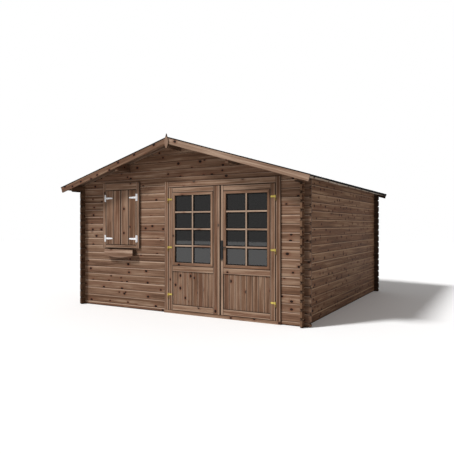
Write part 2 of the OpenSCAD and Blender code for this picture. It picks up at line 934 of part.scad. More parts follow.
// Shutter between x0 and x1: upright boards with bevelled edges, which make a groove where two meet
module shutter(x0, x1) {
  y0 = trim_face;
  y1 = trim_face + shutter_t;
  g = shutter_groove;
  w = (x1 - x0) / shutter_boards;
  translate([0, 0, shutter_z])
    linear_extrude(shutter_h)
      polygon(concat(
        [for (i = [0 : shutter_boards - 1]) let (x = x0 + i * w) each
          [[x, y0 + g], [x + g, y0], [x + w - g, y0]]],
        [[x1, y0 + g], [x1, y1 - g]],
        [for (i = [shutter_boards - 1 : -1 : 0]) let (x = x0 + i * w) each
          [[x + w - g, y1], [x + g, y1], [x, y1 - g]]]
      ));
}

shutter_meet = (shutter_left + shutter_right) / 2;

module left_shutter() {
  color(wood)
    shutter(shutter_left, shutter_meet - meeting_gap / 2);
}

module right_shutter() {
  color(wood)
    shutter(shutter_meet + meeting_gap / 2, shutter_right);
}

// Axes of the two shutters, in the gaps at their outer edges
left_shutter_axis = shutter_left - run_gap / 2;
right_shutter_axis = shutter_right + run_gap / 2;
arm_barrel_h = arm_plate_h * arm_barrel_share;

// Height of the middle of a shutter's hinge
function arm_z(i) = shutter_z + shutter_h * arm_shares[i];

// Fixed half of a shutter hinge on the axis at x: two barrels, joined to a plate towards s
module arm_plate(x, s)
  for (i = [0 : len(arm_shares) - 1])
    translate([x, arm_y, arm_z(i)]) {
      for (z = [-arm_plate_h / 2, arm_barrel_h / 2])
        translate([0, 0, z]) {
          cylinder(r = arm_r, h = arm_barrel_h, $fn = 40);
          translate([s > 0 ? 0 : -arm_plate_w, arm_r - arm_plate_t, 0])
            cube([arm_plate_w, arm_plate_t, arm_barrel_h]);
        }
      translate([s > 0 ? arm_r + seat : -arm_plate_w, arm_r - arm_plate_t, -arm_plate_h / 2])
        cube([arm_plate_w - arm_r - seat, arm_plate_t, arm_plate_h]);
    }

// Moving half of a shutter hinge: the middle barrel and a tapered arm towards s
module hinge_arm(x, s)
  for (i = [0 : len(arm_shares) - 1])
    translate([x, arm_y, arm_z(i)]) {
      translate([0, 0, seat - arm_barrel_h / 2])
        cylinder(r = arm_r, h = arm_barrel_h - 2 * seat, $fn = 40);
      translate([0, arm_r, 0])
        rotate([90, 0, 0])
          linear_extrude(arm_t)
            polygon([[0, -arm_root_h / 2], [s * (hinge_arm_l - arm_tip_h / 2), -arm_tip_h / 2],
                     [s * hinge_arm_l, 0], [s * (hinge_arm_l - arm_tip_h / 2), arm_tip_h / 2],
                     [0, arm_root_h / 2]]);
    }

module shutter_hinge_plates() {
  color(white) {
    arm_plate(left_shutter_axis, -1);
    arm_plate(right_shutter_axis, 1);
  }
}

module left_shutter_hinges() {
  color(white)
    hinge_arm(left_shutter_axis, 1);
}

module right_shutter_hinges() {
  color(white)
    hinge_arm(right_shutter_axis, -1);
}

// Open box under the window; the front board's lower edge swells in one arc
module flower_box() {
  y0 = wall_face - seat - flower_box_d;
  y1 = wall_face - seat;
  x0 = window_mid - flower_box_w / 2;
  x1 = window_mid + flower_box_w / 2;
  top = trim_foot - box_drop;
  foot = top - flower_box_h;
  color(wood) {
    along(y0, y0 + box_board_t)
      polygon(concat(
        [[x0, top], [x0, foot]],
        [for (i = [1 : box_steps - 1]) let (u = i / box_steps)
          [x0 + flower_box_w * u, foot - box_belly * sin(180 * u)]],
        [[x1, foot], [x1, top]]
      ));
    for (x = [x0, x1 - box_board_t])
      plank([x, y0 + box_board_t, foot], [x + box_board_t, y1, top]);
    plank([x0 + box_board_t, y0 + box_board_t, foot], [x1 - box_board_t, y1, foot + box_board_t]);
  }
}

front_wall_sill();
front_wall_left();
front_wall_pier();
front_wall_right();
front_gable();
back_wall();
back_gable();
left_wall();
right_wall();
ridge_beam();
purlins();
left_roof_boards();
right_roof_boards();
left_felt();
right_felt();
ridge_felt();
front_barge_boards();
back_barge_boards();
front_finial();
back_finial();
left_fascia();
right_fascia();
door_frame();
door_trim();
door_sill();
door_hinge_posts();
left_door_frame();
left_door_bead();
left_door_glass();
left_door_panel();
left_door_hinges();
door_cover_strip();
right_door_frame();
right_door_bead();
right_door_glass();
right_door_panel();
right_door_hinges();
handle_plate();
handle_lever();
window_frame();
window_glass();
window_trim();
shutter_hinge_plates();
left_shutter();
right_shutter();
left_shutter_hinges();
right_shutter_hinges();
flower_box();
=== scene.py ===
import math

import bpy
import numpy as np
from bpy.props import FloatProperty, FloatVectorProperty, IntProperty, PointerProperty
from bpy.types import Operator, Panel, PropertyGroup
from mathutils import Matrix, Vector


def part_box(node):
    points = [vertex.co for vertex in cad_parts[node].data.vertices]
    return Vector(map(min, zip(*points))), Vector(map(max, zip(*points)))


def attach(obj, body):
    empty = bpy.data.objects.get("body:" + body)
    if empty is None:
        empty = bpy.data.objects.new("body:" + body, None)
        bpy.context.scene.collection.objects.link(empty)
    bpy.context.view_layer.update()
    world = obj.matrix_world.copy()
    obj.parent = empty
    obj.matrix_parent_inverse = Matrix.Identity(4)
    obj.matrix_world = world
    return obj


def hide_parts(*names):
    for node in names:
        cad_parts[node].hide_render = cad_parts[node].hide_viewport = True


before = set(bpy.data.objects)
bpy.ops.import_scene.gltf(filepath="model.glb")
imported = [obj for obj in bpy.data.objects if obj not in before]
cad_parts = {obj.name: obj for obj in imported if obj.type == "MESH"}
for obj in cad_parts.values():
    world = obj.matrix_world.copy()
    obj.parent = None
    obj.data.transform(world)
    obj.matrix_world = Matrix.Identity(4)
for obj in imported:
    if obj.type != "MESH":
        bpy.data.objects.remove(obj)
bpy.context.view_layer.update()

bl_info = {
    "name": "Log Cabin Finish",
    "version": (1, 0, 0),
    "blender": (4, 5, 0),
    "location": "View3D > Sidebar > Cabin",
    "description": "Dresses a log cabin with boards, glazing bars, felt, screws and stained wood",
    "category": "Object",
}

SIDES = ("left", "right")

# Gap that fixed pieces keep from each other, in metres
SEAT = 0.0004

# Studio floor: its height, and its cells along one side
FLOOR_LEVEL = -0.0005
FLOOR_CELLS = 8

# Colour of the backdrop
WHITE = (1.0, 1.0, 1.0, 1.0)

# The photograph's frame, in its own pixels
PHOTO_SIDE = 454
PHOTO_FOCUS = 486.236
PHOTO_HORIZON = 224.822
SENSOR = 36.0

# How far the camera sees, in metres
FAR = 500.0

# Way to the nearest edge of a shape, in metres, where it is painted black throughout, as putty and painted
# shade, or clean throughout
GRIME_AND_SHADE_RIM = -1.0
CLEAN = 1.0

AXIS = {"x": np.array([1.0, 0, 0]), "y": np.array([0, 1.0, 0]), "z": np.array([0, 0, 1.0])}

# Directions of a board's length, width and thickness, by the axis that it lies along
LYING = {
    "x": np.array([AXIS["x"], AXIS["z"], -AXIS["y"]]),
    "z": np.array([AXIS["z"], AXIS["x"], AXIS["y"]]),
}

# Log walls: the axis that their logs lie along, whether their courses start half a course up, how strong the
# painted highlight on their upper edges and the painted shade at their feet and in their notches are, how
# light their stain is, and how many knots they have against the front
LOG_WALLS = {
    "front_wall_sill": ("x", 0.0, 1.0, 0.9, 1.0),
    "front_wall_left": ("x", 0.0, 1.0, 0.9, 1.0),
    "front_wall_pier": ("x", 0.0, 1.0, 1.0, 1.0),
    "front_wall_right": ("x", 0.0, 1.0, 1.0, 1.0),
    "front_gable": ("x", 0.0, 0.3, 0.95, 1.0),
    "back_wall": ("x", 0.0, 1.0, 1.0, 1.0),
    "back_gable": ("x", 0.0, 0.3, 0.95, 1.0),
    "left_wall": ("y", 0.5, 1.0, 1.0, 1.0),
    "right_wall": ("y", 0.5, 1.0, 0.93, 1.6),
}

# The side walls take a warmer tint: painted warmth that stands in for the shaded side wall's look
SIDE_SHADE_TINT = (1.06, 0.98, 0.86)

# The barge boards on the left have darkened
LEFT_STAIN = (0.67, 0.61, 0.55)

# How dark the painted shade on the log ends is at the front's two corners and at the back
LEFT_END_SHADE = 0.67
RIGHT_END_SHADE = 0.37
BACK_END_SHADE = 0.88

# Place of the first wall in the pattern that gives each log its tone
WALL_SEED = 3.7

# Heads of felt nails and screws: radius and height, as shares of the head's radius, and sides
NAIL = np.array([[1.0, 0.0], [1.0, 0.16], [0.6, 0.32], [0.2, 0.38]])
SCREW = np.array([[1.0, 0.0], [1.0, 0.15], [0.8, 0.34], [0.3, 0.45]])
NAIL_SIDES = 8
SCREW_SIDES = 10

# Felt, in metres: how far it stops short of the eaves and of the ridge, the way in which it rises over a
# lap, where it turns down past the eaves, its ripple on the slopes and on the ridge, and its eased edge
FELT_INSET = 0.003
FELT_TOP = 0.055
LAP_RISE = 0.1
LIP_OUT = 0.001
LIP_TOP = 0.002
SLOPE_RIPPLE = 0.0007
RIDGE_RIPPLE = 0.0006
FELT_EASE = 0.0008

# Ridge strip: the radius over the ridge, in metres, and how many layers of felt it lies above the boards
RIDGE_ROUND = 0.012
RIDGE_LAYERS = 2.6

# Felt nails, in metres: from the lower edge, and from the front and the back end
NAIL_INSET = 0.028
NAIL_ENDS = (0.06, 0.03)

# Points of the felt along the ridge, down one length, and over the ridge
FELT_COLUMNS = 60
FELT_ROWS = 24
RIDGE_ROWS = 33

# Bead and bars, in metres: the bead's bevel and rounded edge, and the bar's shoulder, side, rebate and back
BEVEL = 0.004
OVOLO = 0.013
BAR_SHOULDER = 0.0025
BAR_SIDE = 0.010
BAR_REBATE = 0.004
BAR_BACK = 0.008

# Eased edges of the cover strip and of the window's lining, and the lengths in which a fascia's tone changes
STRIP_EASE = 0.005
LINING_EASE = 0.001
FASCIA_STEP = 0.19

# What makes a board lighter than its fellows
STILE = -0.9
PALE_STILE = 1.6
RAIL = 0.7
STRIP = 0.4
UPRIGHT_BAR = 1.5
LEVEL_BAR = 1.3
UPRIGHT_TRIM = -0.5
LEFT_SHUTTER = -0.5

# Metals and paint: how metallic and how rough each is, and the fineness and depth of its cast surface
METALS = {
    "nail_zinc": (0.8, 0.5, 300.0, 0.0002),
    "hinge_brass": (1.0, 0.22, 160.0, 0.0002),
    "handle_iron": (0.7, 0.34, 220.0, 0.0006),
    "hinge_white_paint": (0.0, 0.3, 120.0, 0.0002),
    "hinge_pin_bronze": (1.0, 0.35, 160.0, 0.0002),
}

# Screws, in metres: from the ends of a shutter hinge's plate, and from the foot and the top of the handle's
PLATE_INSET = 0.009
HANDLE_SCREWS = (0.075, 0.012)


def length(label, text, size):
    """Property that holds a length in metres."""
    return FloatProperty(name=label, description=text, default=size, min=0.0, unit="LENGTH")


def angle(label, text, degrees):
    """Property that holds an angle, given in degrees."""
    return FloatProperty(name=label, description=text, default=math.radians(degrees), subtype="ANGLE")


def colour(label, text, shade):
    """Property that holds a linear colour."""
    limits = {"min": 0.0, "max": 1.0}
    return FloatVectorProperty(name=label, description=text, default=shade, subtype="COLOR", **limits)


def number(label, text, value):
    """Property that holds a plain number."""
    return FloatProperty(name=label, description=text, default=value, min=0.0)


def whole(label, text, value):
    """Property that holds how many there are."""
    return IntProperty(name=label, description=text, default=value, min=1)


class CabinSizes(PropertyGroup):
    """Sizes of what is laid over the cabin's construction."""

    course: length("Course", "Height of one course of logs", 0.12)
    half_log: length("Half log", "Height of the half log that starts the front and back walls", 0.056)
    pitch: angle("Roof pitch", "Slope of the roof", 16.6)
    ease: length("Eased edge", "Radius on the edges of planed boards", 0.003)
    bar: length("Glazing bar", "Width of the bars between the panes", 0.027)
    bar_set: length("Bar set-back", "How far the bars lie behind the face of the bead", 0.006)
    putty: length("Putty", "Width and height of the dark fillet round the panes", 0.014)
    panes_across: whole("Panes across", "Panes in a row", 2)
    panes_up: whole("Panes up", "Rows of panes in a leaf", 4)
    panel_board: length("Panel board", "Width of a board in the door panels", 0.092)
    board_groove: length("Board groove", "Radius on the edges of boards that are laid side by side", 0.0075)
    shutter_boards: whole("Shutter boards", "Boards in one shutter", 2)
    door_trim: length("Door trim", "Width of the trim boards at the sides of the doors", 0.073)
    door_head: length("Door head", "Height of the trim board over the doors", 0.09)
    window_trim: length("Window trim", "Width of the trim boards at the window's sides", 0.06)
    window_head: length("Window head", "Height of the trim board over the shutters", 0.118)
    window_foot: length("Window foot", "Height of the trim board under the shutters", 0.052)
    window_lining: length("Window lining", "Thickness of the window's lining", 0.024)
    roof_board: length("Roof board", "Width of a roof board", 0.096)
    roof_groove: length("Roof groove", "Radius on the edges of the roof boards", 0.005)
    felt_roll: length("Felt roll", "Width of a roll of felt", 1.0)
    felt_lap: length("Felt lap", "Overlap of two lengths of felt", 0.08)
    felt_lip: length("Felt lip", "Depth of the felt that is turned down at the edges", 0.022)
    felt_thick: length("Felt thickness", "Thickness of one layer of felt", 0.003)
    nail_head: length("Felt nail", "Radius of a felt nail's head", 0.006)
    nail_step: length("Felt nail spacing", "Distance between felt nails", 0.11)
    felt_edge: length("Felt edge", "Depth of the felt that is turned over the barge boards", 0.013)
    shield_tip: length("Shield tip", "Height of the dark tip of the shield board", 0.048)
    screw_head: length("Screw", "Radius of a screw head on the ironwork", 0.004)
    door_arm: length("Door hinge arm", "Thickness of the arms of the door hinges", 0.004)
    strap: length("Strap", "Thickness of the shutter hinges", 0.003)
    handle_plate: length("Handle plate", "Thickness of the handle's plate", 0.005)


class CabinColours(PropertyGroup):
    """Linear colours of the finishes."""

    wood_light: colour("Light wood", "Light streaks of the stained logs", (0.296, 0.197, 0.134))
    wood: colour("Wood", "Body of the stained logs", (0.200, 0.115, 0.073))
    wood_dark: colour("Dark wood", "Dark grain of the stained logs", (0.092, 0.046, 0.026))
    # Painted highlight, laid on the logs' upper edges and along the boards' edges as if they caught the
    # light
    wood_highlight: colour("Worn wood", "Upper edges of the logs, which the weather reaches", (0.43, 0.30, 0.22))
    wood_red: colour("Red wood", "Reddish heartwood and the halo of a knot", (0.170, 0.062, 0.032))
    wood_olive: colour("Olive wood", "Greenish stain on some logs", (0.170, 0.118, 0.066))
    pale_light: colour("Light board", "Light streaks of the planed edge boards", (0.39, 0.278, 0.204))
    pale: colour("Board", "Body of the planed edge boards", (0.262, 0.171, 0.121))
    pale_dark: colour("Dark board", "Dark grain of the planed edge boards", (0.135, 0.074, 0.045))
    raw_light: colour("Light raw wood", "Light streaks of the unstained eaves boards", (0.46, 0.39, 0.33))
    raw: colour("Raw wood", "Body of the unstained eaves boards", (0.30, 0.24, 0.19))
    raw_dark: colour("Dark raw wood", "Dark grain of the unstained eaves boards", (0.17, 0.115, 0.075))
    knot: colour("Knot", "Heart of a knot", (0.012, 0.005, 0.003))
    end_grain: colour("End grain", "Sawn ends of the logs", (0.225, 0.140, 0.095))
    felt: colour("Felt", "Mineral felt", (0.004, 0.004, 0.004))
    felt_grain: colour("Felt grain", "Pale grains on the felt", (0.030, 0.029, 0.028))
    felt_dust: colour("Felt dust", "Dust on the lying felt", (0.085, 0.082, 0.078))
    glass: colour("Glass", "Tint of the panes", (0.004, 0.004, 0.004))
    # Black putty, also painted over the bead's inner side and outer bevel and the bars' sides as painted
    # shade
    putty: colour("Putty", "Black putty round the panes", (0.004, 0.004, 0.004))
    brass: colour("Brass", "Door hinges", (0.78, 0.62, 0.16))
    bronze: colour("Bronze", "Dull pins of the door hinges", (0.30, 0.20, 0.08))
    zinc: colour("Zinc", "Dull heads of the felt nails", (0.05, 0.05, 0.052))
    iron: colour("Iron", "Door handle", (0.032, 0.031, 0.030))
    white: colour("White paint", "Shutter hinges", (0.82, 0.82, 0.84))
    floor: colour("Floor", "Studio floor", (0.95, 0.95, 0.95))


class CabinStage(PropertyGroup):
    """Light and camera."""

    sun: number("Sun", "Strength of the key light", 3.4)
    sun_height: angle("Sun height", "Height of the key light above the horizon", 46.5)
    sun_turn: angle("Sun turn", "Turn of the key light from the front towards the left", 37.7)
    sun_spread: angle("Sun spread", "Apparent size of the key light", 10.0)
    sky: number("Sky", "Strength of the even light", 0.36)
    sky_tint: colour("Sky tint", "Colour of the even light", (1.0, 0.975, 0.96))
    backdrop: number("Backdrop", "Light behind the object", 1.0)
    floor_side: length("Floor", "Side of the studio floor", 60.0)
    eye: FloatVectorProperty(
        name="Eye", description="Place of the camera",
        default=(4.2916, -8.1184, 1.3603), size=3, subtype="XYZ"
    )
    turn: angle("Camera turn", "Turn of the camera to the left of straight ahead", 29.42)


def box(node):
    """Lowest and highest corner of a node, as arrays."""
    low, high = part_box(node)
    return np.array(low), np.array(high)


def tiers(node, gap=0.05):
    """Boxes of the parts of a node that stand above each other, parted where no point lies for a gap."""
    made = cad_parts[node]
    spots = np.empty(3 * len(made.data.vertices))
    made.data.vertices.foreach_get("co", spots)
    turn = np.array(made.matrix_world)
    spots = spots.reshape(-1, 3) @ turn[:3, :3].T + turn[:3, 3]
    spots = spots[np.argsort(spots[:, 2])]
    cuts = np.nonzero(np.diff(spots[:, 2]) > gap)[0] + 1
    return [(part.min(0), part.max(0)) for part in np.split(spots, cuts)]


def loft(rings):
    """Closed skin over rings of equally many points: quads between neighbouring rings, and an end ring
    closed by one face. The faces are turned outwards by the sign of the volume that they enclose."""
    count, around = rings.shape[:2]
    points = rings.reshape(-1, 3)
    place = np.arange(around)
    after = (place + 1) % around
    low = np.arange(count - 1)[:, None] * around
    high = low + around
    quads = np.stack([low + place, low + after, high + after, high + place], -1).reshape(-1, 4)
    caps = np.stack([place[::-1], place + (count - 1) * around])
    fan = np.stack(np.broadcast_arrays(caps[:, :1], caps[:, 1:-1], caps[:, 2:]), -1).reshape(-1, 3)
    fans = np.concatenate([quads[:, [0, 1, 2]], quads[:, [0, 2, 3]], fan])
    a, b, c = (points[fans[:, i]] - points[0] for i in range(3))
    if np.einsum("ij,ij->", a, np.cross(b, c)) < 0:
        quads, caps = quads[:, ::-1], caps[:, ::-1]
    return points, (quads, caps)


def board(origin, axes, size, ease):
    """Board with rounded edges: a box shrunk by the ease and swept by a ball of that radius. Each ring has
    three points on every corner's arc, and the end rings follow the ball's parallels. The rim is the way to
    either long edge."""
    ease = min(ease, size[1] / 3, size[2] / 3)
    turn = (np.arange(4)[:, None] * 90.0 + np.array([0.0, 45.0, 90.0])).ravel()
    corner_v = np.repeat([1.0, -1.0, -1.0, 1.0], 3) * (size[1] / 2 - ease)
    corner_w = np.repeat([1.0, 1.0, -1.0, -1.0], 3) * (size[2] / 2 - ease)
    parallel = np.radians([-70.0, -35.0, 0.0, 0.0, 35.0, 70.0])
    ball = ease * np.cos(parallel)[:, None]
    reach = np.repeat([ease, size[0] - ease], 3) + ease * np.sin(parallel)
    u = np.repeat(reach[:, None], len(turn), 1)
    v = size[1] / 2 + corner_v + ball * np.cos(np.radians(turn))
    w = size[2] / 2 + corner_w + ball * np.sin(np.radians(turn))
    local = np.stack([u, v, w], -1)
    points, faces = loft(local @ axes + origin)
    rim = np.stack([v, size[1] - v, 0 * v], -1)
    return points, faces, local.reshape(-1, 3), rim.reshape(-1, 3)


def plank(low, high, axis, ease, **spans):
    """Board between two corners, lying along an axis; its reach along some axes can be given instead."""
    low, high = low.copy(), high.copy()
    for name, (start, stop) in spans.items():
        place = "xyz".index(name)
        low[place], high[place] = start, stop
    axes = LYING[axis]
    size = np.abs(axes @ (high - low))
    origin = np.where(axes.sum(0) < 0, high, low)
    return board(origin, axes, size, ease)


def moulding(profile, start, end, across, out, shade_and_grime, mitre=0.0):
    """Straight length of a closed profile (a, d): a point lies at start or end plus a times the across
    direction and d times the out direction, and both ends are drawn in by the mitre times a. The shade and
    grime mask says which points of the profile are painted black, as putty and painted shade."""
    along = (end - start) / np.linalg.norm(end - start)
    a, d = profile[:, :1], profile[:, 1:]
    section = a * across + d * out
    rings = np.stack([start + section + along * mitre * a, end + section - along * mitre * a])
    points, faces = loft(rings)
    grain = (points - start) @ np.stack([along, across, out], -1)
    rim = np.where(np.tile(shade_and_grime, 2), GRIME_AND_SHADE_RIM, CLEAN)
    return points, faces, grain, np.repeat(rim[:, None], 3, 1)


def turned(profile, centre, axis, around):
    """Surface of revolution: each (radius, height) of a profile becomes a ring about the axis."""
    side = np.cross(axis, AXIS["z"] if abs(axis[2]) < 0.9 else AXIS["x"])
    side = side / np.linalg.norm(side)
    other = np.cross(axis, side)
    turn = np.linspace(0, 2 * np.pi, around, endpoint=False)
    circle = np.cos(turn)[:, None] * side + np.sin(turn)[:, None] * other
    rings = centre + profile[:, :1, None] * circle + profile[:, 1:, None] * axis
    points, faces = loft(rings)
    return points, faces, points - centre


class Stack:
    """Closed shapes gathered into one piece, each with a tone and a place in the grain of its own."""

    def __init__(self, seed):
        self.draw = np.random.default_rng(seed)
        self.points, self.faces, self.grain, self.tone, self.rim = [], [], [], [], []
        self.total = 0

    def add(self, points, faces, grain, rim=CLEAN, lighter=0.0):
        """Adds one shape with its grain coordinates, which are shifted to a part of the pattern of its own,
        with the way from each point to its edges, and with what makes it lighter than its fellows."""
        self.points.append(points)
        for alike in faces:
            self.faces += (alike + self.total).tolist()
        self.grain.append(grain + self.draw.random(3) * np.array([40.0, 8.0, 8.0]))
        self.tone.append(np.full(len(points), self.draw.random() + lighter))
        self.rim.append(np.broadcast_to(rim, (len(points), 3)))
        self.total += len(points)
        return self

    def piece(self, name, body, slot, finish, replaces=(), smooth=False):
        """Makes the object, which rides on a body and stands for the nodes given."""
        mesh = bpy.data.meshes.new(name)
        mesh.from_pydata(np.concatenate(self.points).tolist(), [], self.faces)
        for part, values in (("grain", self.grain), ("rim", self.rim)):
            made = mesh.attributes.new(part, "FLOAT_VECTOR", "POINT")
            made.data.foreach_set("vector", np.concatenate(values).astype(np.float32).ravel())
        tone = mesh.attributes.new("tone", "FLOAT", "POINT")
        tone.data.foreach_set("value", np.concatenate(self.tone).astype(np.float32))
        mesh.polygons.foreach_set("use_smooth", np.full(len(mesh.polygons), smooth))
        mesh.materials.append(finish)
        return dress(mesh, name, body, replaces)


def dress(mesh, name, body, replaces=()):
    """Links a mesh as a piece at the origin, parents it to its body's empty, and hides the nodes that it
    stands for.
    """
    mesh.update()
    made = bpy.data.objects.new(name, mesh)
    bpy.context.scene.collection.objects.link(made)
    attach(made, body)
    if replaces:
        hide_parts(*replaces)
    return made


def coat(finish, *nodes):
    """Gives nodes that stay in view their finish."""
    for node in nodes:
        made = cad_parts[node]
        if not made.material_slots:
            made.data.materials.append(finish)
        for place in made.material_slots:
            place.material = finish


class Value:
    """Output of a shader node that can be reckoned with: each sign adds a math node."""

    def __init__(self, finish, socket):
        self.finish, self.socket = finish, socket

    def __add__(self, other):
        return self.finish.math("ADD", self, other)

    def __sub__(self, other):
        return self.finish.math("SUBTRACT", self, other)

    def __rsub__(self, other):
        return self.finish.math("SUBTRACT", other, self)

    def __mul__(self, other):
        return self.finish.math("MULTIPLY", self, other)

    def __truediv__(self, other):
        return self.finish.math("DIVIDE", self, other)


class Nodes:
    """Node tree of a material or a world, with short calls that add to it."""

    def __init__(self, owner):
        owner.use_nodes = True
        self.tree = owner.node_tree
        self.tree.nodes.clear()

    def feed(self, node, inputs):
        """A link or a constant for each input given."""
        for key, value in dict(inputs).items():
            if isinstance(value, Value):
                self.tree.links.new(value.socket, node.inputs[key])
            else:
                node.inputs[key].default_value = value

    def node(self, kind, inputs=(), **settings):
        """New node: its settings first, and then its inputs."""
        made = self.tree.nodes.new(kind)
        for key, value in settings.items():
            setattr(made, key, value)
        self.feed(made, inputs)
        return made

    def parts(self, names, kind, inputs=(), **settings):
        """Outputs of a new node, by their names or numbers."""
        made = self.node(kind, inputs, **settings)
        return [Value(self, made.outputs[name]) for name in names]

    def part(self, name, kind, inputs=(), **settings):
        return self.parts((name,), kind, inputs, **settings)[0]


class Finish(Nodes):
    """Material with one shader, and short calls for the nodes that feed it."""

    def __init__(self, name):
        self.material = bpy.data.materials.new(name)
        super().__init__(self.material)
        self.shader = self.node("ShaderNodeBsdfPrincipled")
        self.node("ShaderNodeOutputMaterial", {"Surface": Value(self, self.shader.outputs["BSDF"])})

    def math(self, operation, *values):
        return self.part(0, "ShaderNodeMath", enumerate(values), operation=operation)

    def smooth(self, value, low, high):
        """Smooth step from 0 at low to 1 at high."""
        spread = {"Value": value, "From Min": low, "From Max": high}
        return self.part(0, "ShaderNodeMapRange", spread, interpolation_type="SMOOTHSTEP")

    def vector(self, x, y, z):
        return self.part(0, "ShaderNodeCombineXYZ", enumerate((x, y, z)))

    def split(self, value):
        return self.parts(range(3), "ShaderNodeSeparateXYZ", {0: value})

    def stretch(self, value, factors):
        """Vector whose three parts are multiplied by factors of their own, or by one for all."""
        pair = {0: value, 1: np.broadcast_to(factors, 3).tolist()}
        return self.part(0, "ShaderNodeVectorMath", pair, operation="MULTIPLY")

    def noise(self, value, factors, detail, rough=0.55):
        """Noise of a stretched vector."""
        scaled = self.stretch(value, factors)
        grains = {"Vector": scaled, "Scale": 1.0, "Detail": detail, "Roughness": rough}
        return self.part("Fac", "ShaderNodeTexNoise", grains)

    def blend(self, share, first, second, kind="MIX"):
        pair = {0: share, 6: first, 7: second}
        return self.part(2, "ShaderNodeMix", pair, data_type="RGBA", blend_type=kind)

    def layers(self, shade, *coats):
        """Colours laid over a shade one after another, each by its share."""
        for share, over in coats:
            shade = self.blend(share, shade, over)
        return shade

    def place(self):
        """Object coordinates of the surface."""
        return self.part("Object", "ShaderNodeTexCoord")

    def normal(self):
        """The three parts of the direction that the surface looks in."""
        return self.split(self.part("Normal", "ShaderNodeNewGeometry"))

    def attribute(self, name, part="Vector"):
        return self.part(part, "ShaderNodeAttribute", attribute_name=name)

    def done(self, surface, height=None, depth=0.0, strength=0.0):
        """Feeds the shader, with a bump where there is a height, and gives the material."""
        self.feed(self.shader, surface)
        if height is not None:
            bump = {"Height": height, "Distance": depth, "Strength": strength}
            self.feed(self.shader, {"Normal": self.part(0, "ShaderNodeBump", bump)})
        return self.material


def rgba(shade, share=1.0):
    """Colour property as a socket's value, brightened or darkened by a share."""
    return (*(part * share for part in shade), 1.0)


def palette(colours, kind="wood", share=1.0):
    """Light, middle and dark colour of a kind of wood, brightened or darkened by a share."""
    return [rgba(getattr(colours, kind + part), share) for part in ("_light", "", "_dark")]


# Wood: knots lie in cells of this side, a share of the cells holds one, and radii run between two sizes
KNOT_CELL = 0.15
KNOT_SHARE = 0.56
BOARD_KNOT_SHARE = 0.18
KNOT_RADIUS = (0.013, 0.0205)
RING_GAP = 0.011

# Grime and painted shade, and sawn and shaded faces, have these shares of the dark wood's colour
GRIME_AND_SHADE_SHARE = 0.25
SAWN_AND_SHADED_SHARE = 0.3

# Bands on a log, in metres, where each starts and where it is full: a painted highlight below the upper
# edge, and painted shade over the foot, over the ground, past the crossing walls and in the notches
HIGHLIGHT_BELOW_TOP = (0.019, 0.009)
SHADE_OVER_FOOT = (0.010, 0.003)
SHADE_OVER_GROUND = (0.020, 0.006)
SHADE_PAST_CROSSING = (-0.004, 0.012)
NOTCH_PAST_CROSSING = (0.064, 0.078)
NOTCH_FROM_EDGE = (0.028, 0.014)


def wood(finish, grain, tone, hue, shades, colours, knots):
    """Stained softwood on (along, across, through) coordinates in metres. Growth lines are a sine of the
    way across, bent by slow noise and pushed aside by knots; streaks and fibres are noise drawn out along
    the grain; knots are the hearts of a share of the cells, with a redder halo. Tone lightens a log or board
    as a whole, and hue turns it from olive to red."""
    light, body, dark = shades
    oval = finish.stretch(grain, (0.75, 1.0, 1.0))
    cells = {"Vector": oval, "Scale": 1.0 / KNOT_CELL, "Randomness": 1.0}
    names = "Distance", "Color"
    away, chance = finish.parts(names, "ShaderNodeTexVoronoi", cells, voronoi_dimensions="2D")
    chance, size, _ = finish.split(chance)
    filled = finish.math("LESS_THAN", chance, knots)
    low, high = KNOT_RADIUS
    ragged = finish.noise(grain, (60.0, 90.0, 60.0), 2.0) * 0.5 + 0.75
    away = away * KNOT_CELL / (size * (high - low) + low) * ragged
    heart = finish.smooth(away, 1.05, 0.85) * filled
    halo = finish.smooth(away, 2.9, 0.9) * filled

    across = finish.split(grain)[1]
    drift = finish.noise(grain, (0.8, 7.0, 7.0), 2.0)
    phase = across / RING_GAP + drift * 9.0 + halo * 2.2
    wave = finish.math("SINE", phase * (2.0 * math.pi))
    line = finish.math("POWER", wave * 0.5 + 0.5, 2.5)
    streak = finish.noise(grain, (1.1, 30.0, 30.0), 4.0, 0.62)
    fibre = finish.noise(grain, (16.0, 520.0, 520.0), 2.0)
    patch = finish.noise(grain, (2.2, 5.0, 5.0), 2.0)

    value = (streak - 0.5) * 3.1 + 0.5
    for part, share in ((tone, 0.26), (patch, 0.5), (fibre, 0.55)):
        value = (part - 0.5) * share + value
    red = finish.smooth(hue, 0.5, 1.0) * 0.5
    olive = finish.smooth(hue, 0.5, 0.0) * 0.5
    stain = finish.blend(red, body, rgba(colours.wood_red), "SOFT_LIGHT")
    stain = finish.blend(olive, stain, rgba(colours.wood_olive), "SOFT_LIGHT")
    shade = finish.layers(
        dark,
        (finish.smooth(value, 0.0, 0.5), stain),
        (finish.smooth(value, 0.5, 1.05), light),
        (line * 0.4, dark),
        (halo * 0.55, rgba(colours.wood_red, 0.75)),
        (heart, rgba(colours.knot)),
    )
    return shade, fibre * 0.6 - line * 0.45 + heart * 0.6, streak


def wood_shader(finish, shade, height, streak):
    """Dull, open-grained surface: rougher where the streaks are light."""
    surface = {"Base Color": shade, "Roughness": streak * 0.35 + 0.5, "Specular IOR Level": 0.12}
    return finish.done(surface, height, 0.0012, 0.55)


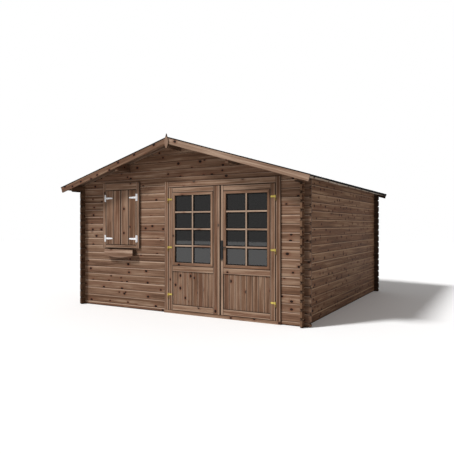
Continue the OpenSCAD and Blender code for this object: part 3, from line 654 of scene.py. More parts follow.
def board_wood(name, shades, colours, joint=0.0065, pale=0.55):
    """Wood of boards that carry their own grain, tone and way to the edge: a band along the edges is painted
    pale as a painted highlight, grime and painted shade lie in the joints, half a joint's width from the
    edge, and points marked as lying in a corner are painted black in the putty's colour as painted shade."""
    finish = Finish(name)
    tone = finish.attribute("tone", "Fac")
    hue = finish.math("FRACT", tone * 7.3)
    grain = finish.attribute("grain")
    shade, height, streak = wood(finish, grain, tone, hue, shades, colours, BOARD_KNOT_SHARE)
    near, far, _ = finish.split(finish.attribute("rim"))
    edge = finish.math("MINIMUM", near, far)
    worn = finish.smooth(edge, joint + 0.0135, joint + 0.0045) * finish.smooth(streak, 0.2, 0.6)
    # Painted highlight along the edges, grime with painted shade in the joints, and black painted shade at
    # marked points
    shade = finish.layers(
        shade,
        (worn * pale, rgba(colours.wood_highlight)),
        (finish.smooth(edge, joint + 0.002, joint - 0.002) * 0.86, rgba(colours.wood_dark, GRIME_AND_SHADE_SHARE)),
        (finish.smooth(edge, 0.3 * GRIME_AND_SHADE_RIM, 0.7 * GRIME_AND_SHADE_RIM), rgba(colours.putty)),
    )
    return wood_shader(finish, shade, height, streak)


def log_wood(name, lot, crossing, seed, sizes, colours):
    """Wood of a log wall on Object coordinates: a log is known by its course, so each takes its own tone,
    hue and part of the pattern. Sawn ends show rings round a heart; painted shade darkens the lower edge of
    a log and the foot of the wall, a painted highlight lightens the upper edge, and painted shade darkens
    the ends past the crossing walls, most of all in the notches between them. The side walls take a warm
    tint that stands in for shade. The lot is the wall's line of the table, and a crossing holds the place of
    a wall's face and the share of painted shade."""
    finish = Finish(name)
    axis, offset, worn, share, knotty = lot
    x, y, z = finish.split(finish.place())
    along, through = (x, y) if axis == "x" else (y, x)
    level = (z - (sizes.half_log + offset * sizes.course)) / sizes.course
    course = finish.math("FLOOR", level)
    up = (level - course) * sizes.course
    spot = {"Vector": finish.vector(course, seed, 0.5)}
    chance, hue = finish.parts(("Color", "Value"), "ShaderNodeTexWhiteNoise", spot, noise_dimensions="3D")
    first, second, tone = finish.split(chance)
    grain = finish.vector(first * 40.0 + along, second * 8.0 + up, through)
    shades = palette(colours, share=share)
    shade, height, streak = wood(finish, grain, tone, hue, shades, colours, knotty * KNOT_SHARE)

    heart = finish.vector(second * 0.03 + through, up - first * sizes.course, 0.0)
    reach = finish.part("Value", "ShaderNodeVectorMath", {0: heart}, operation="LENGTH")
    wobble = finish.noise(finish.place(), 30.0, 2.0)
    ring = finish.math("SINE", reach * 1100.0 + wobble * 9.0)
    sawn = finish.blend(ring * 0.22 + 0.25, rgba(colours.end_grain), shades[2])
    facing = finish.math("ABSOLUTE", finish.normal()["xy".index(axis)])
    shade = finish.blend(finish.math("GREATER_THAN", facing, 0.6), shade, sawn)

    # Painted shade: the dark wood's colour laid where shade falls on a log
    painted_shade = rgba(colours.wood_dark, GRIME_AND_SHADE_SHARE)
    # Painted highlight on the upper edge of each log
    pale = finish.smooth(up, *(sizes.course - way for way in HIGHLIGHT_BELOW_TOP))
    shade = finish.blend(pale * (second * (0.6 * worn) + 0.3 * worn), shade, rgba(colours.wood_highlight))
    # Painted shade on the log ends past the crossing walls
    (low, low_dirt), (high, high_dirt) = crossing
    before, after = float(low) - along, along - high
    for past, depth in ((before, low_dirt), (after, high_dirt)):
        shade = finish.blend(finish.smooth(past, *SHADE_PAST_CROSSING) * depth, shade, painted_shade)
    # Painted shade in the notches between log ends, on the lower edge of each log and at the ground
    edge = finish.math("MINIMUM", up, sizes.course - up)
    tip = finish.smooth(finish.math("MAXIMUM", before, after), *NOTCH_PAST_CROSSING)
    notch = tip * finish.smooth(edge, *NOTCH_FROM_EDGE)
    ground = finish.smooth(z, *SHADE_OVER_GROUND)
    foot = finish.math("MAXIMUM", finish.smooth(up, *SHADE_OVER_FOOT), ground)
    shade = finish.blend(finish.math("MAXIMUM", foot, notch) * (0.4 + 0.48 * worn), shade, painted_shade)
    # Painted warm tint of shade on the side walls
    if axis == "y":
        shade = finish.blend(1.0, shade, rgba(SIDE_SHADE_TINT), "MULTIPLY")
    return wood_shader(finish, shade, height, streak)


def beam_wood(name, lying, shades, colours, pitch=0.0, step=0.0, damp=0.0, tip=0.0, inner=False):
    """Wood of a node that stays in view, on Object coordinates: the grain runs along X, Y or Z, or down both
    slopes of the roof, where the way along is measured from the ridge. With a step, the tone changes from
    length to length, as where many short boards end side by side. Sawn faces are dark, as end grain and as
    painted shade; what lies above the tip is dark; and painted shade darkens what lies behind the back
    place, a tipped board's face that looks to the right, and an inner face that looks to the front."""
    finish = Finish(name)
    x, y, z = finish.split(finish.place())
    side = finish.math("SIGN", x)
    tone = side * 0.12 + 0.5
    hue = side * -0.2 + 0.55
    knots = KNOT_SHARE
    if lying == "slope":
        aside = finish.math("ABSOLUTE", x)
        along = side * 11.0 + (aside * math.cos(pitch) - z * math.sin(pitch))
        across = aside * math.sin(pitch) + z * math.cos(pitch)
        grain = finish.vector(along, across, y)
        right = finish.math("GREATER_THAN", x, 0.0)
        dull = [rgba(np.multiply(fair[:3], LEFT_STAIN)) for fair in shades]
        shades = [finish.blend(right, *pair) for pair in zip(dull, shades)]
        knots = right * (-0.9 * KNOT_SHARE) + KNOT_SHARE
    else:
        grain = finish.vector(*{"x": (x, z, y), "y": (y, z, x), "z": (z, x, y)}[lying])
    if step:
        spot = {"W": finish.math("FLOOR", y / step)}
        tone = finish.part("Value", "ShaderNodeTexWhiteNoise", spot, noise_dimensions="1D")
    shade, height, streak = wood(finish, grain, tone, hue, shades, colours, knots)
    normal = finish.normal()
    dark = []
    # Sawn faces: end grain, together with painted shade on the end that looks away from the light
    if lying in ("slope", "x"):
        dark.append(finish.smooth(finish.math("ABSOLUTE", normal[0]), 0.7, 0.9))
    # Painted shade behind the back place
    if damp:
        dark.append(finish.smooth(y, damp - 0.25, damp + 0.05))
    if tip:
        dark.append(finish.smooth(z, tip - 0.006, tip + 0.006))
        # Painted shade on the face that looks to the right
        dark.append(finish.smooth(normal[0], 0.4, 0.8))
    # Painted shade on an inner face that looks to the front
    if inner:
        dark.append(finish.smooth(normal[1], -0.4, -0.8))
    sawn = rgba(colours.wood_dark, SAWN_AND_SHADED_SHARE)
    shade = finish.layers(shade, *((share * 0.85, sawn) for share in dark))
    return wood_shader(finish, shade, height, streak)


def felt_finish(colours):
    """Mineral felt: dark bitumen with pale grains in fine cells, broad, faint weathering, and dust that the
    rain has drawn into streaks down the slopes."""
    finish = Finish("mineral_felt")
    place = finish.place()
    cells = {"Vector": place, "Scale": 420.0}
    height, chance = finish.parts(("Distance", "Color"), "ShaderNodeTexVoronoi", cells)
    worn = finish.noise(place, 1.3, 4.0)
    share = finish.smooth(finish.split(chance)[0], 0.55, 1.0) * finish.smooth(worn, 0.25, 0.8)
    shade = finish.blend(share, rgba(colours.felt), rgba(colours.felt_grain))
    lying = finish.smooth(finish.normal()[2], 0.5, 0.8)
    streak = finish.smooth(finish.noise(place, (0.7, 7.0, 0.7), 4.0), 0.3, 0.75)
    shade = finish.blend(lying * (streak * 0.3 + 0.12), shade, rgba(colours.felt_dust))
    surface = {"Base Color": shade, "Roughness": worn * 0.2 + 0.8, "Specular IOR Level": 0.06}
    return finish.done(surface, height, 0.0015, 0.6)


def metal_finish(name, shade):
    """Metal or paint: an even colour dulled in soft patches, with a fine hammered or cast surface."""
    metallic, rough, grain, depth = METALS[name]
    finish = Finish(name)
    place = finish.place()
    patch = finish.noise(place, 45.0, 3.0)
    dull = finish.blend(finish.smooth(patch, 0.35, 0.8), rgba(shade), rgba(shade, 0.6))
    surface = {"Base Color": dull, "Metallic": metallic, "Roughness": patch * 0.25 + rough}
    return finish.done(surface, finish.noise(place, grain, 2.0), depth, 0.4)


def glass_finish(colours):
    """Smoked pane: dark and glossy, it lets a little of what lies behind show, and dust roughens it in soft
    patches."""
    finish = Finish("pane_glass")
    rough = finish.noise(finish.place(), 2.5, 3.0) * 0.02 + 0.012
    tint = rgba(colours.glass)
    return finish.done({"Base Color": tint, "Alpha": 0.88, "IOR": 1.8, "Roughness": rough})


def settings(context):
    return context.scene.cabin_sizes, context.scene.cabin_colours


class CABIN_OT_logs(Operator):
    """Stains the log walls and the beams that they carry, with painted highlight and painted shade"""

    bl_idname = "cabin.logs"
    bl_label = "Log Walls"

    def execute(self, context):
        sizes, colours = settings(context)
        sides = box("left_wall")[0][0], box("right_wall")[1][0]
        ends = box("front_wall_left")[0][1], box("back_wall")[1][1]
        for seed, (node, lot) in enumerate(LOG_WALLS.items()):
            # Shares of painted shade on the log ends at each crossing
            if lot[0] == "y":
                corner = LEFT_END_SHADE if node.startswith("left") else RIGHT_END_SHADE
                crossing = zip(ends, (corner, BACK_END_SHADE))
            elif node.startswith("back"):
                crossing = zip(sides, (BACK_END_SHADE, BACK_END_SHADE))
            else:
                crossing = zip(sides, (LEFT_END_SHADE, RIGHT_END_SHADE))
            coat(log_wood("stained_" + node, lot, crossing, WALL_SEED + seed, sizes, colours), node)
        # The ridge beam and purlins take a darker palette as painted shade under the overhang
        coat(beam_wood("stained_beams", "y", palette(colours, share=0.65), colours), "ridge_beam", "purlins")
        return {"FINISHED"}


def roof_side(side, pitch):
    """Top of the boards at the ridge, and the directions down the slope and out of it, on the side of the
    ridge given by its sign."""
    low, high = box("right_roof_boards")
    ridge = np.array([0, 0, high[2] + low[0] * math.tan(pitch)])
    slope = np.array([side * math.cos(pitch), 0, -math.sin(pitch)])
    normal = np.array([side * math.sin(pitch), 0, math.cos(pitch)])
    return ridge, slope, normal


class CABIN_OT_roof_boards(Operator):
    """Lays the roof boards, and finishes the barge boards, fascias and shield boards"""

    bl_idname = "cabin.roof_boards"
    bl_label = "Roof Boards"

    def execute(self, context):
        sizes, colours = settings(context)
        # The roof boards and the back barge boards take the dark palette as painted shade under the roof
        dark, pale, raw = palette(colours, share=0.5), palette(colours, "pale"), palette(colours, "raw")
        finish = board_wood("stained_roof_boards", dark, colours)
        for side, name in zip((-1, 1), SIDES):
            self.planks(side, name, sizes, finish)
        coat(beam_wood("planed_barge_boards", "slope", pale, colours, sizes.pitch), "front_barge_boards")
        damp = beam_wood("damp_barge_boards", "slope", dark, colours, sizes.pitch, inner=True)
        coat(damp, "back_barge_boards")
        # The fascias are painted dark behind the back wall: painted shade under the back overhang
        back = box("back_wall")[0][1]
        fascia = beam_wood("raw_fascias", "y", raw, colours, step=FASCIA_STEP, damp=back)
        coat(fascia, *(name + "_fascia" for name in SIDES))
        tip = box("front_finial")[1][2] - sizes.shield_tip
        shield = beam_wood("planed_shield_boards", "z", pale, colours, tip=tip)
        coat(shield, "front_finial", "back_finial")
        return {"FINISHED"}

    def planks(self, side, name, sizes, finish):
        """Boards of one slope, side by side from gable to gable, each from the ridge to the eaves."""
        node = name + "_roof_boards"
        low, high = box(node)
        ridge, slope, normal = roof_side(side, sizes.pitch)
        steep = math.tan(sizes.pitch)
        thick = (high[2] - low[2] - (high[0] - low[0]) * steep) * math.cos(sizes.pitch)
        start = thick * steep + SEAT
        reach = max(-low[0], high[0]) / math.cos(sizes.pitch) - start
        count = round((high[1] - low[1]) / sizes.roof_board)
        width = (high[1] - low[1]) / count
        axes = np.array([slope, AXIS["y"], normal])
        stack = Stack(20 + side)
        for i in range(count):
            origin = ridge + slope * start - normal * thick + AXIS["y"] * (low[1] + i * width)
            stack.add(*board(origin, axes, (reach, width, thick), sizes.roof_groove))
        stack.piece(name + "_roof_planks", "cabin", "roof_timber", finish, [node])


def grid_mesh(name, points, flip):
    """Open grid of points: a quad for each cell."""
    count, across = points.shape[:2]
    row, place = np.meshgrid(np.arange(count - 1), np.arange(across - 1), indexing="ij")
    corner = row * across + place
    quads = np.stack([corner, corner + 1, corner + across + 1, corner + across], -1).reshape(-1, 4)
    if flip:
        quads = quads[:, ::-1]
    mesh = bpy.data.meshes.new(name)
    mesh.from_pydata(points.reshape(-1, 3).tolist(), [], quads.tolist())
    return mesh


def felt_piece(name, points, flip, sizes, finish, replaces):
    """Grid of points as a piece of felt, which a solidifier thickens inwards."""
    mesh = grid_mesh(name, points, flip)
    mesh.materials.append(finish)
    solid = dress(mesh, name, "cabin", replaces).modifiers.new("thickness", "SOLIDIFY")
    solid.thickness = sizes.felt_thick
    solid.offset = -1.0


class CABIN_OT_felt(Operator):
    """Lays the felt in lapped lengths, with a strip over the ridge, and nails it down"""

    bl_idname = "cabin.felt"
    bl_label = "Roofing Felt"

    def execute(self, context):
        sizes, colours = settings(context)
        finish = felt_finish(colours)
        edge = box("right_felt")[1][0] / math.cos(sizes.pitch) - FELT_INSET
        nails = Stack(31)
        for side, name in zip((-1, 1), SIDES):
            self.lengths(side, name, edge, nails, sizes, finish)
            self.gable_edges(side, name, edge, sizes, finish)
        self.ridge_strip(sizes, finish)
        zinc = metal_finish("nail_zinc", colours.zinc)
        nails.piece("felt_nails", "cabin", "felt", zinc)
        return {"FINISHED"}

    def lengths(self, side, name, edge, nails, sizes, finish):
        """Lengths of one slope, from the eaves up to the ridge: the first is turned down at the eaves, each
        of the others rises over the one below it, and a row of nails holds the lower edge of each."""
        ridge, slope, normal = roof_side(side, sizes.pitch)
        start, stop = (corner[1] for corner in box("right_felt"))
        layer = sizes.felt_thick + SEAT
        bottom, index = edge, 0
        while bottom > FELT_TOP:
            top = max(bottom - sizes.felt_roll, FELT_TOP)
            way = np.linspace(top, bottom, FELT_ROWS)
            lap = np.clip((way - (bottom - sizes.felt_lap - LAP_RISE)) / LAP_RISE, 0, 1)
            lift = layer + (layer * lap * lap * (3 - 2 * lap) if index else 0 * lap)
            rows, stands = np.stack([way, lift], -1), []
            if index == 0:
                rows = np.concatenate([rows, [[edge + LIP_OUT, LIP_TOP], [edge + LIP_OUT, -sizes.felt_lip]]])
                stands = [name + "_felt"]
            points = self.sheet(rows, np.linspace(start, stop, FELT_COLUMNS), side, sizes)
            felt_piece(f"{name}_felt_{index}", points, side > 0, sizes, finish, stands)
            for y in np.arange(start + NAIL_ENDS[0], stop - NAIL_ENDS[1], sizes.nail_step):
                spot = ridge + slope * (bottom - NAIL_INSET) + normal * lift[-1] + AXIS["y"] * y
                nails.add(*turned(NAIL * sizes.nail_head, spot, normal, NAIL_SIDES))
            bottom = top + sizes.felt_lap if top > FELT_TOP else 0.0
            index += 1

    def sheet(self, rows, columns, side, sizes):
        """Length of felt as a grid on the roof's slope: rows hold the way down the slope and the lift over
        the boards, columns hold places along the ridge, and a slow ripple is added to the lift. What hangs
        below the boards hangs deeper towards the back."""
        ridge, slope, normal = roof_side(side, sizes.pitch)
        down, lift = rows[:, 0][:, None], rows[:, 1][:, None]
        along = columns[None, :]
        share = (along - columns[0]) / (columns[-1] - columns[0])
        ripple = np.sin(6.1 * along + 2.0 * down) * np.sin(9.3 * down + 1.7 * along + side)
        rise = np.where(lift < 0, lift * (0.8 + 0.9 * share), lift + SLOPE_RIPPLE * ripple)
        return ridge + down[..., None] * slope + rise[..., None] * normal + along[..., None] * AXIS["y"]

    def ridge_strip(self, sizes, finish):
        """Strip over the ridge: a grid that follows both slopes, rounds over where they meet, and has a slow
        ripple."""
        low, high = box("ridge_felt")
        reach = high[0] / math.cos(sizes.pitch)
        way = np.linspace(-reach, reach, RIDGE_ROWS)[:, None]
        along = np.linspace(low[1], high[1], FELT_COLUMNS)[None, :]
        bend = np.sqrt(way * way + RIDGE_ROUND * RIDGE_ROUND)
        lift = RIDGE_LAYERS * (sizes.felt_thick + SEAT)
        ripple = RIDGE_RIPPLE * np.sin(7.0 * along) * np.sin(11.0 * way)
        height = roof_side(1, sizes.pitch)[0][2] - bend * math.sin(sizes.pitch) + lift + ripple
        points = np.stack(np.broadcast_arrays(way * math.cos(sizes.pitch), along, height), -1)
        felt_piece("ridge_felt_strip", points, True, sizes, finish, ["ridge_felt"])

    def gable_edges(self, side, name, edge, sizes, finish):
        """Felt turned over the top of the barge boards, from the shield boards down to the eaves."""
        ridge, slope, normal = roof_side(side, sizes.pitch)
        start = box("front_finial")[1][0] / math.cos(sizes.pitch) + SEAT
        thick = sizes.felt_thick
        axes = np.array([slope, normal, AXIS["y"]])
        faces = box("front_barge_boards")[0][1] - SEAT - thick, box("back_barge_boards")[1][1] + SEAT
        stack = Stack(33)
        for face in faces:
            origin = ridge + slope * start + normal * (2 * thick - sizes.felt_edge) + AXIS["y"] * face
            stack.add(*board(origin, axes, (edge - start, sizes.felt_edge, thick), FELT_EASE))
        stack.piece(name + "_gable_felt", "cabin", "felt", finish)


def framework(seed, node, inner, levels, ease, tones):
    """Two uprights, from either side of a node to the inner places, and between them a board at each level,
    which is a lower and an upper height. The tones lighten the uprights and the level boards."""
    low, high = box(node)
    stack = Stack(seed)
    for span, lighter in zip(((low[0], inner[0]), (inner[1], high[0])), tones):
        stack.add(*plank(low, high, "z", ease, x=span), lighter=lighter)
    for level in levels:
        shape = plank(low, high, "x", ease, x=(inner[0] + SEAT, inner[1] - SEAT), z=level)
        stack.add(*shape, lighter=tones[-1])
    return stack


def side_by_side(seed, node, count, ease, lighter=0.0):
    """Upright boards of one width, edge to edge over a node's box; their rounded edges make the grooves."""
    low, high = box(node)
    xs = np.linspace(low[0], high[0], count + 1)
    stack = Stack(seed)
    for span in zip(xs[:-1], xs[1:]):
        stack.add(*plank(low, high, "z", ease, x=span), lighter=lighter)
    return stack


class CABIN_OT_doors(Operator):
    """Builds the two leaves: framing, raised beads, glazing bars, boarded panels and the cover strip"""

    bl_idname = "cabin.doors"
    bl_label = "Door Leaves"

    def execute(self, context):
        sizes, colours = settings(context)
        framing = board_wood("stained_leaf_framing", palette(colours), colours)
        beading = board_wood("stained_beads", palette(colours, share=1.1), colours)
        barring = board_wood("planed_bars", palette(colours, "pale"), colours)
        shades = palette(colours, share=0.93)
        panels = board_wood("stained_panel_boards", shades, colours, joint=0.0045, pale=0.4)
        glass = glass_finish(colours)
        for seed, side in enumerate(SIDES):
            self.framing(side, seed, sizes, framing)
            self.bead(side, seed, sizes, beading)
            self.bars(side, seed, sizes, barring)
            self.panel(side, seed, sizes, panels)
            coat(glass, side + "_door_glass")
        coat(glass, "window_glass")
        strip = Stack(49).add(*plank(*box("door_cover_strip"), "z", STRIP_EASE), lighter=STRIP)
        strip.piece("meeting_strip", "left_door", "joinery", framing, ["door_cover_strip"])
        return {"FINISHED"}

    def framing(self, side, seed, sizes, finish):
        """Stiles run the full height; rails fill in between panel, bead and edges."""
        node = side + "_door_frame"
        low, high = box(node)
        panel, bead = box(side + "_door_panel"), box(side + "_door_bead")
        inner = panel[0][0] - SEAT, panel[1][0] + SEAT
        levels = (low[2], panel[0][2]), (panel[1][2], bead[0][2]), (bead[1][2], high[2])
        left = PALE_STILE if side == "right" else STILE
        stack = framework(41 + seed, node, inner, levels, sizes.ease, (left, STILE, RAIL))
        stack.piece(side + "_leaf_framing", side + "_door", "joinery", finish, [node])

    def bead(self, side, seed, sizes, finish):
        """Four mitred lengths of one moulding: a flat face that rounds over towards the glass, where a
        fillet of putty lies. The outer bevel, the inner side and the putty are painted black as painted
        shade."""
        low, high = box(side + "_door_bead")
        glass = box(side + "_door_glass")[0]
        width = glass[0] - low[0] - SEAT
        deep = high[1] - low[1]
        pane = high[1] - glass[1] + SEAT
        arc = np.radians(np.linspace(0, 90, 5))
        face = np.array([[0.0, 0.0], [0.0, deep - BEVEL], [BEVEL, deep], [1.5 * BEVEL, deep]])
        round_over = np.stack([width - OVOLO + OVOLO * np.sin(arc), deep - OVOLO + OVOLO * np.cos(arc)], -1)
        fillet = [[width, pane + sizes.putty], [width + sizes.putty, pane], [width, pane], [width, 0.0]]
        profile = np.concatenate([face, round_over, fillet])
        # Painted black: the outer bevel, the inner side and the putty fillet, as painted shade in the reveal
        shade_and_grime = np.isin(np.arange(len(profile)), (1, 2, *range(len(profile) - 5, len(profile) - 1)))
        corners = [np.array([x, high[1], z]) for x, z in
                   ((low[0], low[2]), (high[0], low[2]), (high[0], high[2]), (low[0], high[2]))]
        stack = Stack(51 + seed)
        for i, across in enumerate((AXIS["z"], -AXIS["x"], -AXIS["z"], AXIS["x"])):
            stack.add(*moulding(profile, corners[i], corners[(i + 1) % 4], across, -AXIS["y"], shade_and_grime, 1.0))
        stack.piece(side + "_glazing_bead", side + "_door", "joinery", finish, [side + "_door_bead"])

    def bars(self, side, seed, sizes, finish):
        """Upright bars run through, and level bars fill in between them; each is a moulding with a flat
        nose, rounded shoulders, fillets of putty on the pane and a rebated back. Their sides and the putty
        are painted black as painted shade in the reveals."""
        low, high = box(side + "_door_glass")
        front = box(side + "_door_bead")[0][1] + sizes.bar_set
        back = high[1] + BAR_BACK
        deep, half = back - front, sizes.bar / 2
        pane = back - low[1] + SEAT
        side_line = np.array([[0.45 * half, deep], [0.72 * half, deep - BAR_SHOULDER],
                              [half, deep - BAR_SIDE],
                              [half, pane + sizes.putty], [half + sizes.putty, pane], [half, pane],
                              [half, BAR_REBATE], [0.7 * half, 0.0]])
        profile = np.concatenate([side_line, (side_line * np.array([-1.0, 1.0]))[::-1]])
        # Painted black: the bars' sides and putty fillets, as painted shade in the reveals
        shade_and_grime = (profile[:, 1] < deep - BAR_SIDE / 2) & (profile[:, 1] > 0.5 * pane)
        xs = np.linspace(low[0], high[0], sizes.panes_across + 1)
        zs = np.linspace(low[2], high[2], sizes.panes_up + 1)
        stack = Stack(61 + seed)
        for x in xs[1:-1]:
            ends = np.array([x, back, low[2]]), np.array([x, back, high[2]])
            stack.add(*moulding(profile, *ends, AXIS["x"], -AXIS["y"], shade_and_grime), lighter=UPRIGHT_BAR)
        draw_in = np.full(sizes.panes_across + 1, half * 0.9)
        draw_in[[0, -1]] = 0.0
        for z in zs[1:-1]:
            for a, b in zip((xs + draw_in)[:-1], (xs - draw_in)[1:]):
                ends = np.array([a, back, z]), np.array([b, back, z])
                stack.add(*moulding(profile, *ends, AXIS["z"], -AXIS["y"], shade_and_grime), lighter=LEVEL_BAR)
        stack.piece(side + "_glazing_bars", side + "_door", "joinery", finish)

    def panel(self, side, seed, sizes, finish):
        """Upright boards, as many as come nearest to the width of a board."""
        node = side + "_door_panel"
        low, high = box(node)
        count = round((high[0] - low[0]) / sizes.panel_board)
        stack = side_by_side(71 + seed, node, count, sizes.board_groove)
        stack.piece(side + "_panel_boards", side + "_door", "joinery", finish, [node])


class CABIN_OT_surrounds(Operator):
    """Builds the linings, trims and sill of the doorway and the window, and finishes the flower box"""

    bl_idname = "cabin.surrounds"
    bl_label = "Linings and Trims"

    def execute(self, context):
        sizes, colours = settings(context)
        plain = palette(colours)
        finish = board_wood("stained_trims", plain, colours)
        door = sizes.door_trim, sizes.door_head, 0.0
        window = sizes.window_trim, sizes.window_head, sizes.window_foot
        lining = (sizes.window_lining,) * 3
        self.surround("door_trim", "door_trim_boards", 81, finish, sizes.ease, *door)
        self.surround("window_trim", "window_trim_boards", 82, finish, sizes.ease, *window)
        self.surround("window_frame", "window_lining", 83, finish, LINING_EASE, *lining)
        coat(beam_wood("stained_door_lining", "z", plain, colours), "door_frame")
        coat(beam_wood("stained_level_boards", "x", plain, colours), "door_sill")
        coat(beam_wood("planed_flower_box", "x", palette(colours, "pale"), colours), "flower_box")
        return {"FINISHED"}

    def surround(self, node, name, seed, finish, ease, side, head, foot):
        """Two uprights, with a head between them and, where it has a height, a foot."""
        low, high = box(node)
        inner = low[0] + side, high[0] - side
        levels = [(high[2] - head, high[2])] + ([(low[2], low[2] + foot)] if foot else [])
        stack = framework(seed, node, inner, levels, ease, (UPRIGHT_TRIM, UPRIGHT_TRIM, 0.0))
        stack.piece(name, "cabin", "joinery", finish, [node])


class CABIN_OT_shutters(Operator):
    """Boards the two shutters"""

    bl_idname = "cabin.shutters"
    bl_label = "Shutters"

    def execute(self, context):
        sizes, colours = settings(context)
        finish = board_wood("stained_shutter_boards", palette(colours), colours, joint=0.0105)
        for seed, side in enumerate(SIDES):
            node = side + "_shutter"
            lighter = LEFT_SHUTTER if side == "left" else 0.0
            stack = side_by_side(91 + seed, node, sizes.shutter_boards, sizes.board_groove, lighter)
            stack.piece(side + "_shutter_boards", side + "_shutter_wing", "joinery", finish, [node])
        return {"FINISHED"}


class CABIN_OT_ironwork(Operator):
    """Finishes hinges and handle, and drives their screws"""

    bl_idname = "cabin.ironwork"
    bl_label = "Hinges and Handle"

    def execute(self, context):
        sizes, colours = settings(context)
        brass = metal_finish("hinge_brass", colours.brass)
        iron = metal_finish("handle_iron", colours.iron)
        white = metal_finish("hinge_white_paint", colours.white)
        bronze = metal_finish("hinge_pin_bronze", colours.bronze)
        coat(bronze, "door_hinge_posts")
        coat(iron, "handle_plate", "handle_lever")
        coat(white, "shutter_hinge_plates")
        for side in SIDES:
            doors, shutters = side + "_door_hinges", side + "_shutter_hinges"
            coat(brass, doors)
            coat(white, shutters)
            screws = self.screws(101, self.on_arms(doors, side, (0.5, 0.82), sizes.door_arm), sizes)
            screws.piece(side + "_door_screws", side + "_door", "brass", brass)
            screws = self.screws(101, self.on_arms(shutters, side, (0.3, 0.6, 0.88), sizes.strap), sizes)
            screws.piece(side + "_shutter_screws", side + "_shutter_wing", "white_metal", white)
        screws = self.screws(102, self.on_plates(sizes.strap), sizes)
        screws.piece("shutter_plate_screws", "cabin", "white_metal", white)
        screws = self.screws(103, self.on_handle(sizes.handle_plate), sizes)
        screws.piece("handle_screws", "right_door", "iron", iron)
        return {"FINISHED"}

    def screws(self, seed, spots, sizes):
        """Rounded screw heads on faces that look to the front."""
        stack = Stack(seed)
        for x, face, z in spots:
            spot = np.array([x, face - SEAT, z])
            stack.add(*turned(SCREW * sizes.screw_head, spot, -AXIS["y"], SCREW_SIDES))
        return stack

    def on_arms(self, node, side, shares, thick):
        """Places along the arms of a leaf's or shutter's hinges, from the barrel to the tip."""
        for low, high in tiers(node):
            for share in shares:
                way = share if side == "left" else 1.0 - share
                yield low[0] + way * (high[0] - low[0]), high[1] - thick, (low[2] + high[2]) / 2

    def on_plates(self, thick):
        """Three places near either end of each plate of the shutter hinges."""
        for low, high in tiers("shutter_hinge_plates"):
            for x in (low[0] + PLATE_INSET, high[0] - PLATE_INSET):
                for share in (0.12, 0.5, 0.88):
                    yield x, high[1] - thick, low[2] + share * (high[2] - low[2])

    def on_handle(self, thick):
        """A place under the handle and one over it, on the middle of its plate."""
        low, high = box("handle_plate")
        for z in (low[2] + HANDLE_SCREWS[0], high[2] - HANDLE_SCREWS[1]):
            yield (low[0] + high[0]) / 2, high[1] - thick, z


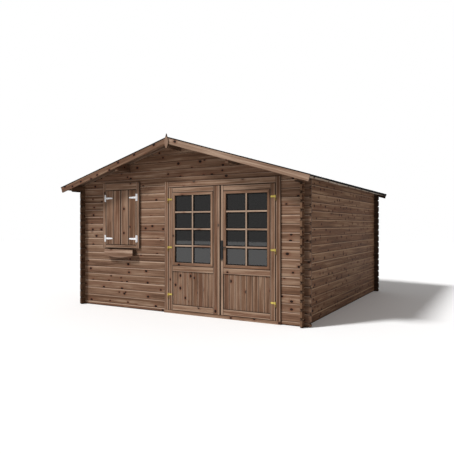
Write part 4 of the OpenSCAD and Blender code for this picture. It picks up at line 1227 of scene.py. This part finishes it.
class CABIN_OT_stage(Operator):
    """Sets the floor, the light and the camera"""

    bl_idname = "cabin.stage"
    bl_label = "Studio"

    def execute(self, context):
        stage, colours = context.scene.cabin_stage, context.scene.cabin_colours
        self.floor(stage, colours)
        self.light(context, stage)
        self.camera(context, stage)
        context.scene.view_settings.view_transform = "Standard"
        return {"FINISHED"}

    def floor(self, stage, colours):
        """Level square, as a coarse grid, just under the cabin's foot."""
        half = stage.floor_side / 2
        line = np.linspace(-half, half, FLOOR_CELLS + 1)
        points = np.stack([*np.meshgrid(line, line), np.full((len(line), len(line)), FLOOR_LEVEL)], -1)
        mesh = grid_mesh("studio_floor", points, False)
        finish = Finish("studio_floor")
        mottle = finish.noise(finish.place(), 0.7, 3.0) * 0.06
        shade = finish.blend(mottle, rgba(colours.floor), rgba(colours.floor, 0.8))
        mesh.materials.append(finish.done({"Base Color": shade, "Roughness": 0.9}))
        made = bpy.data.objects.new("studio_floor", mesh)
        bpy.context.scene.collection.objects.link(made)

    def light(self, context, stage):
        """One soft key light from the front left, and even light from all round."""
        sun = bpy.data.lights.new("key_light", "SUN")
        sun.energy = stage.sun
        sun.angle = stage.sun_spread
        made = bpy.data.objects.new("key_light", sun)
        made.rotation_euler = (math.pi / 2 - stage.sun_height, 0.0, -stage.sun_turn)
        context.scene.collection.objects.link(made)
        world = bpy.data.worlds.new("even_light")
        nodes = Nodes(world)
        even, behind = (
            nodes.part(0, "ShaderNodeBackground", {"Color": tint, "Strength": strength})
            for tint, strength in ((rgba(stage.sky_tint), stage.sky), (WHITE, stage.backdrop))
        )
        seen = nodes.part("Is Camera Ray", "ShaderNodeLightPath")
        both = nodes.part(0, "ShaderNodeMixShader", {0: seen, 1: even, 2: behind})
        nodes.node("ShaderNodeOutputWorld", {"Surface": both})
        context.scene.world = world

    def camera(self, context, stage):
        """Level camera whose focal length and shift come from the photograph's own pixels."""
        lens = bpy.data.cameras.new("photo_camera")
        lens.sensor_width = SENSOR
        lens.lens = SENSOR * PHOTO_FOCUS / PHOTO_SIDE
        lens.shift_y = (PHOTO_HORIZON - PHOTO_SIDE / 2) / PHOTO_SIDE
        lens.clip_end = FAR
        made = bpy.data.objects.new("photo_camera", lens)
        made.location = stage.eye
        made.rotation_euler = (math.pi / 2, 0.0, stage.turn)
        context.scene.collection.objects.link(made)
        context.scene.camera = made


OPERATORS = (
    CABIN_OT_logs, CABIN_OT_roof_boards, CABIN_OT_felt, CABIN_OT_doors, CABIN_OT_surrounds,
    CABIN_OT_shutters, CABIN_OT_ironwork, CABIN_OT_stage,
)


class CABIN_PT_finish(Panel):
    """Sidebar panel with the cabin's steps and values"""

    bl_label = "Log Cabin"
    bl_idname = "CABIN_PT_finish"
    bl_space_type = "VIEW_3D"
    bl_region_type = "UI"
    bl_category = "Cabin"

    def draw(self, context):
        for operator in OPERATORS:
            self.layout.operator(operator.bl_idname)
        for group in (context.scene.cabin_sizes, context.scene.cabin_colours, context.scene.cabin_stage):
            column = self.layout.column()
            for name in group.__annotations__:
                column.prop(group, name)


GROUPS = {"cabin_sizes": CabinSizes, "cabin_colours": CabinColours, "cabin_stage": CabinStage}
CLASSES = (*GROUPS.values(), *OPERATORS, CABIN_PT_finish)


def register():
    for made in CLASSES:
        bpy.utils.register_class(made)
    for name, group in GROUPS.items():
        setattr(bpy.types.Scene, name, PointerProperty(type=group))


def unregister():
    for name in GROUPS:
        delattr(bpy.types.Scene, name)
    for made in reversed(CLASSES):
        bpy.utils.unregister_class(made)


def main():
    """Runs every step in order."""
    register()
    for operator in OPERATORS:
        family, step = operator.bl_idname.split(".")
        getattr(getattr(bpy.ops, family), step)()


if __name__ == "__main__":
    main()
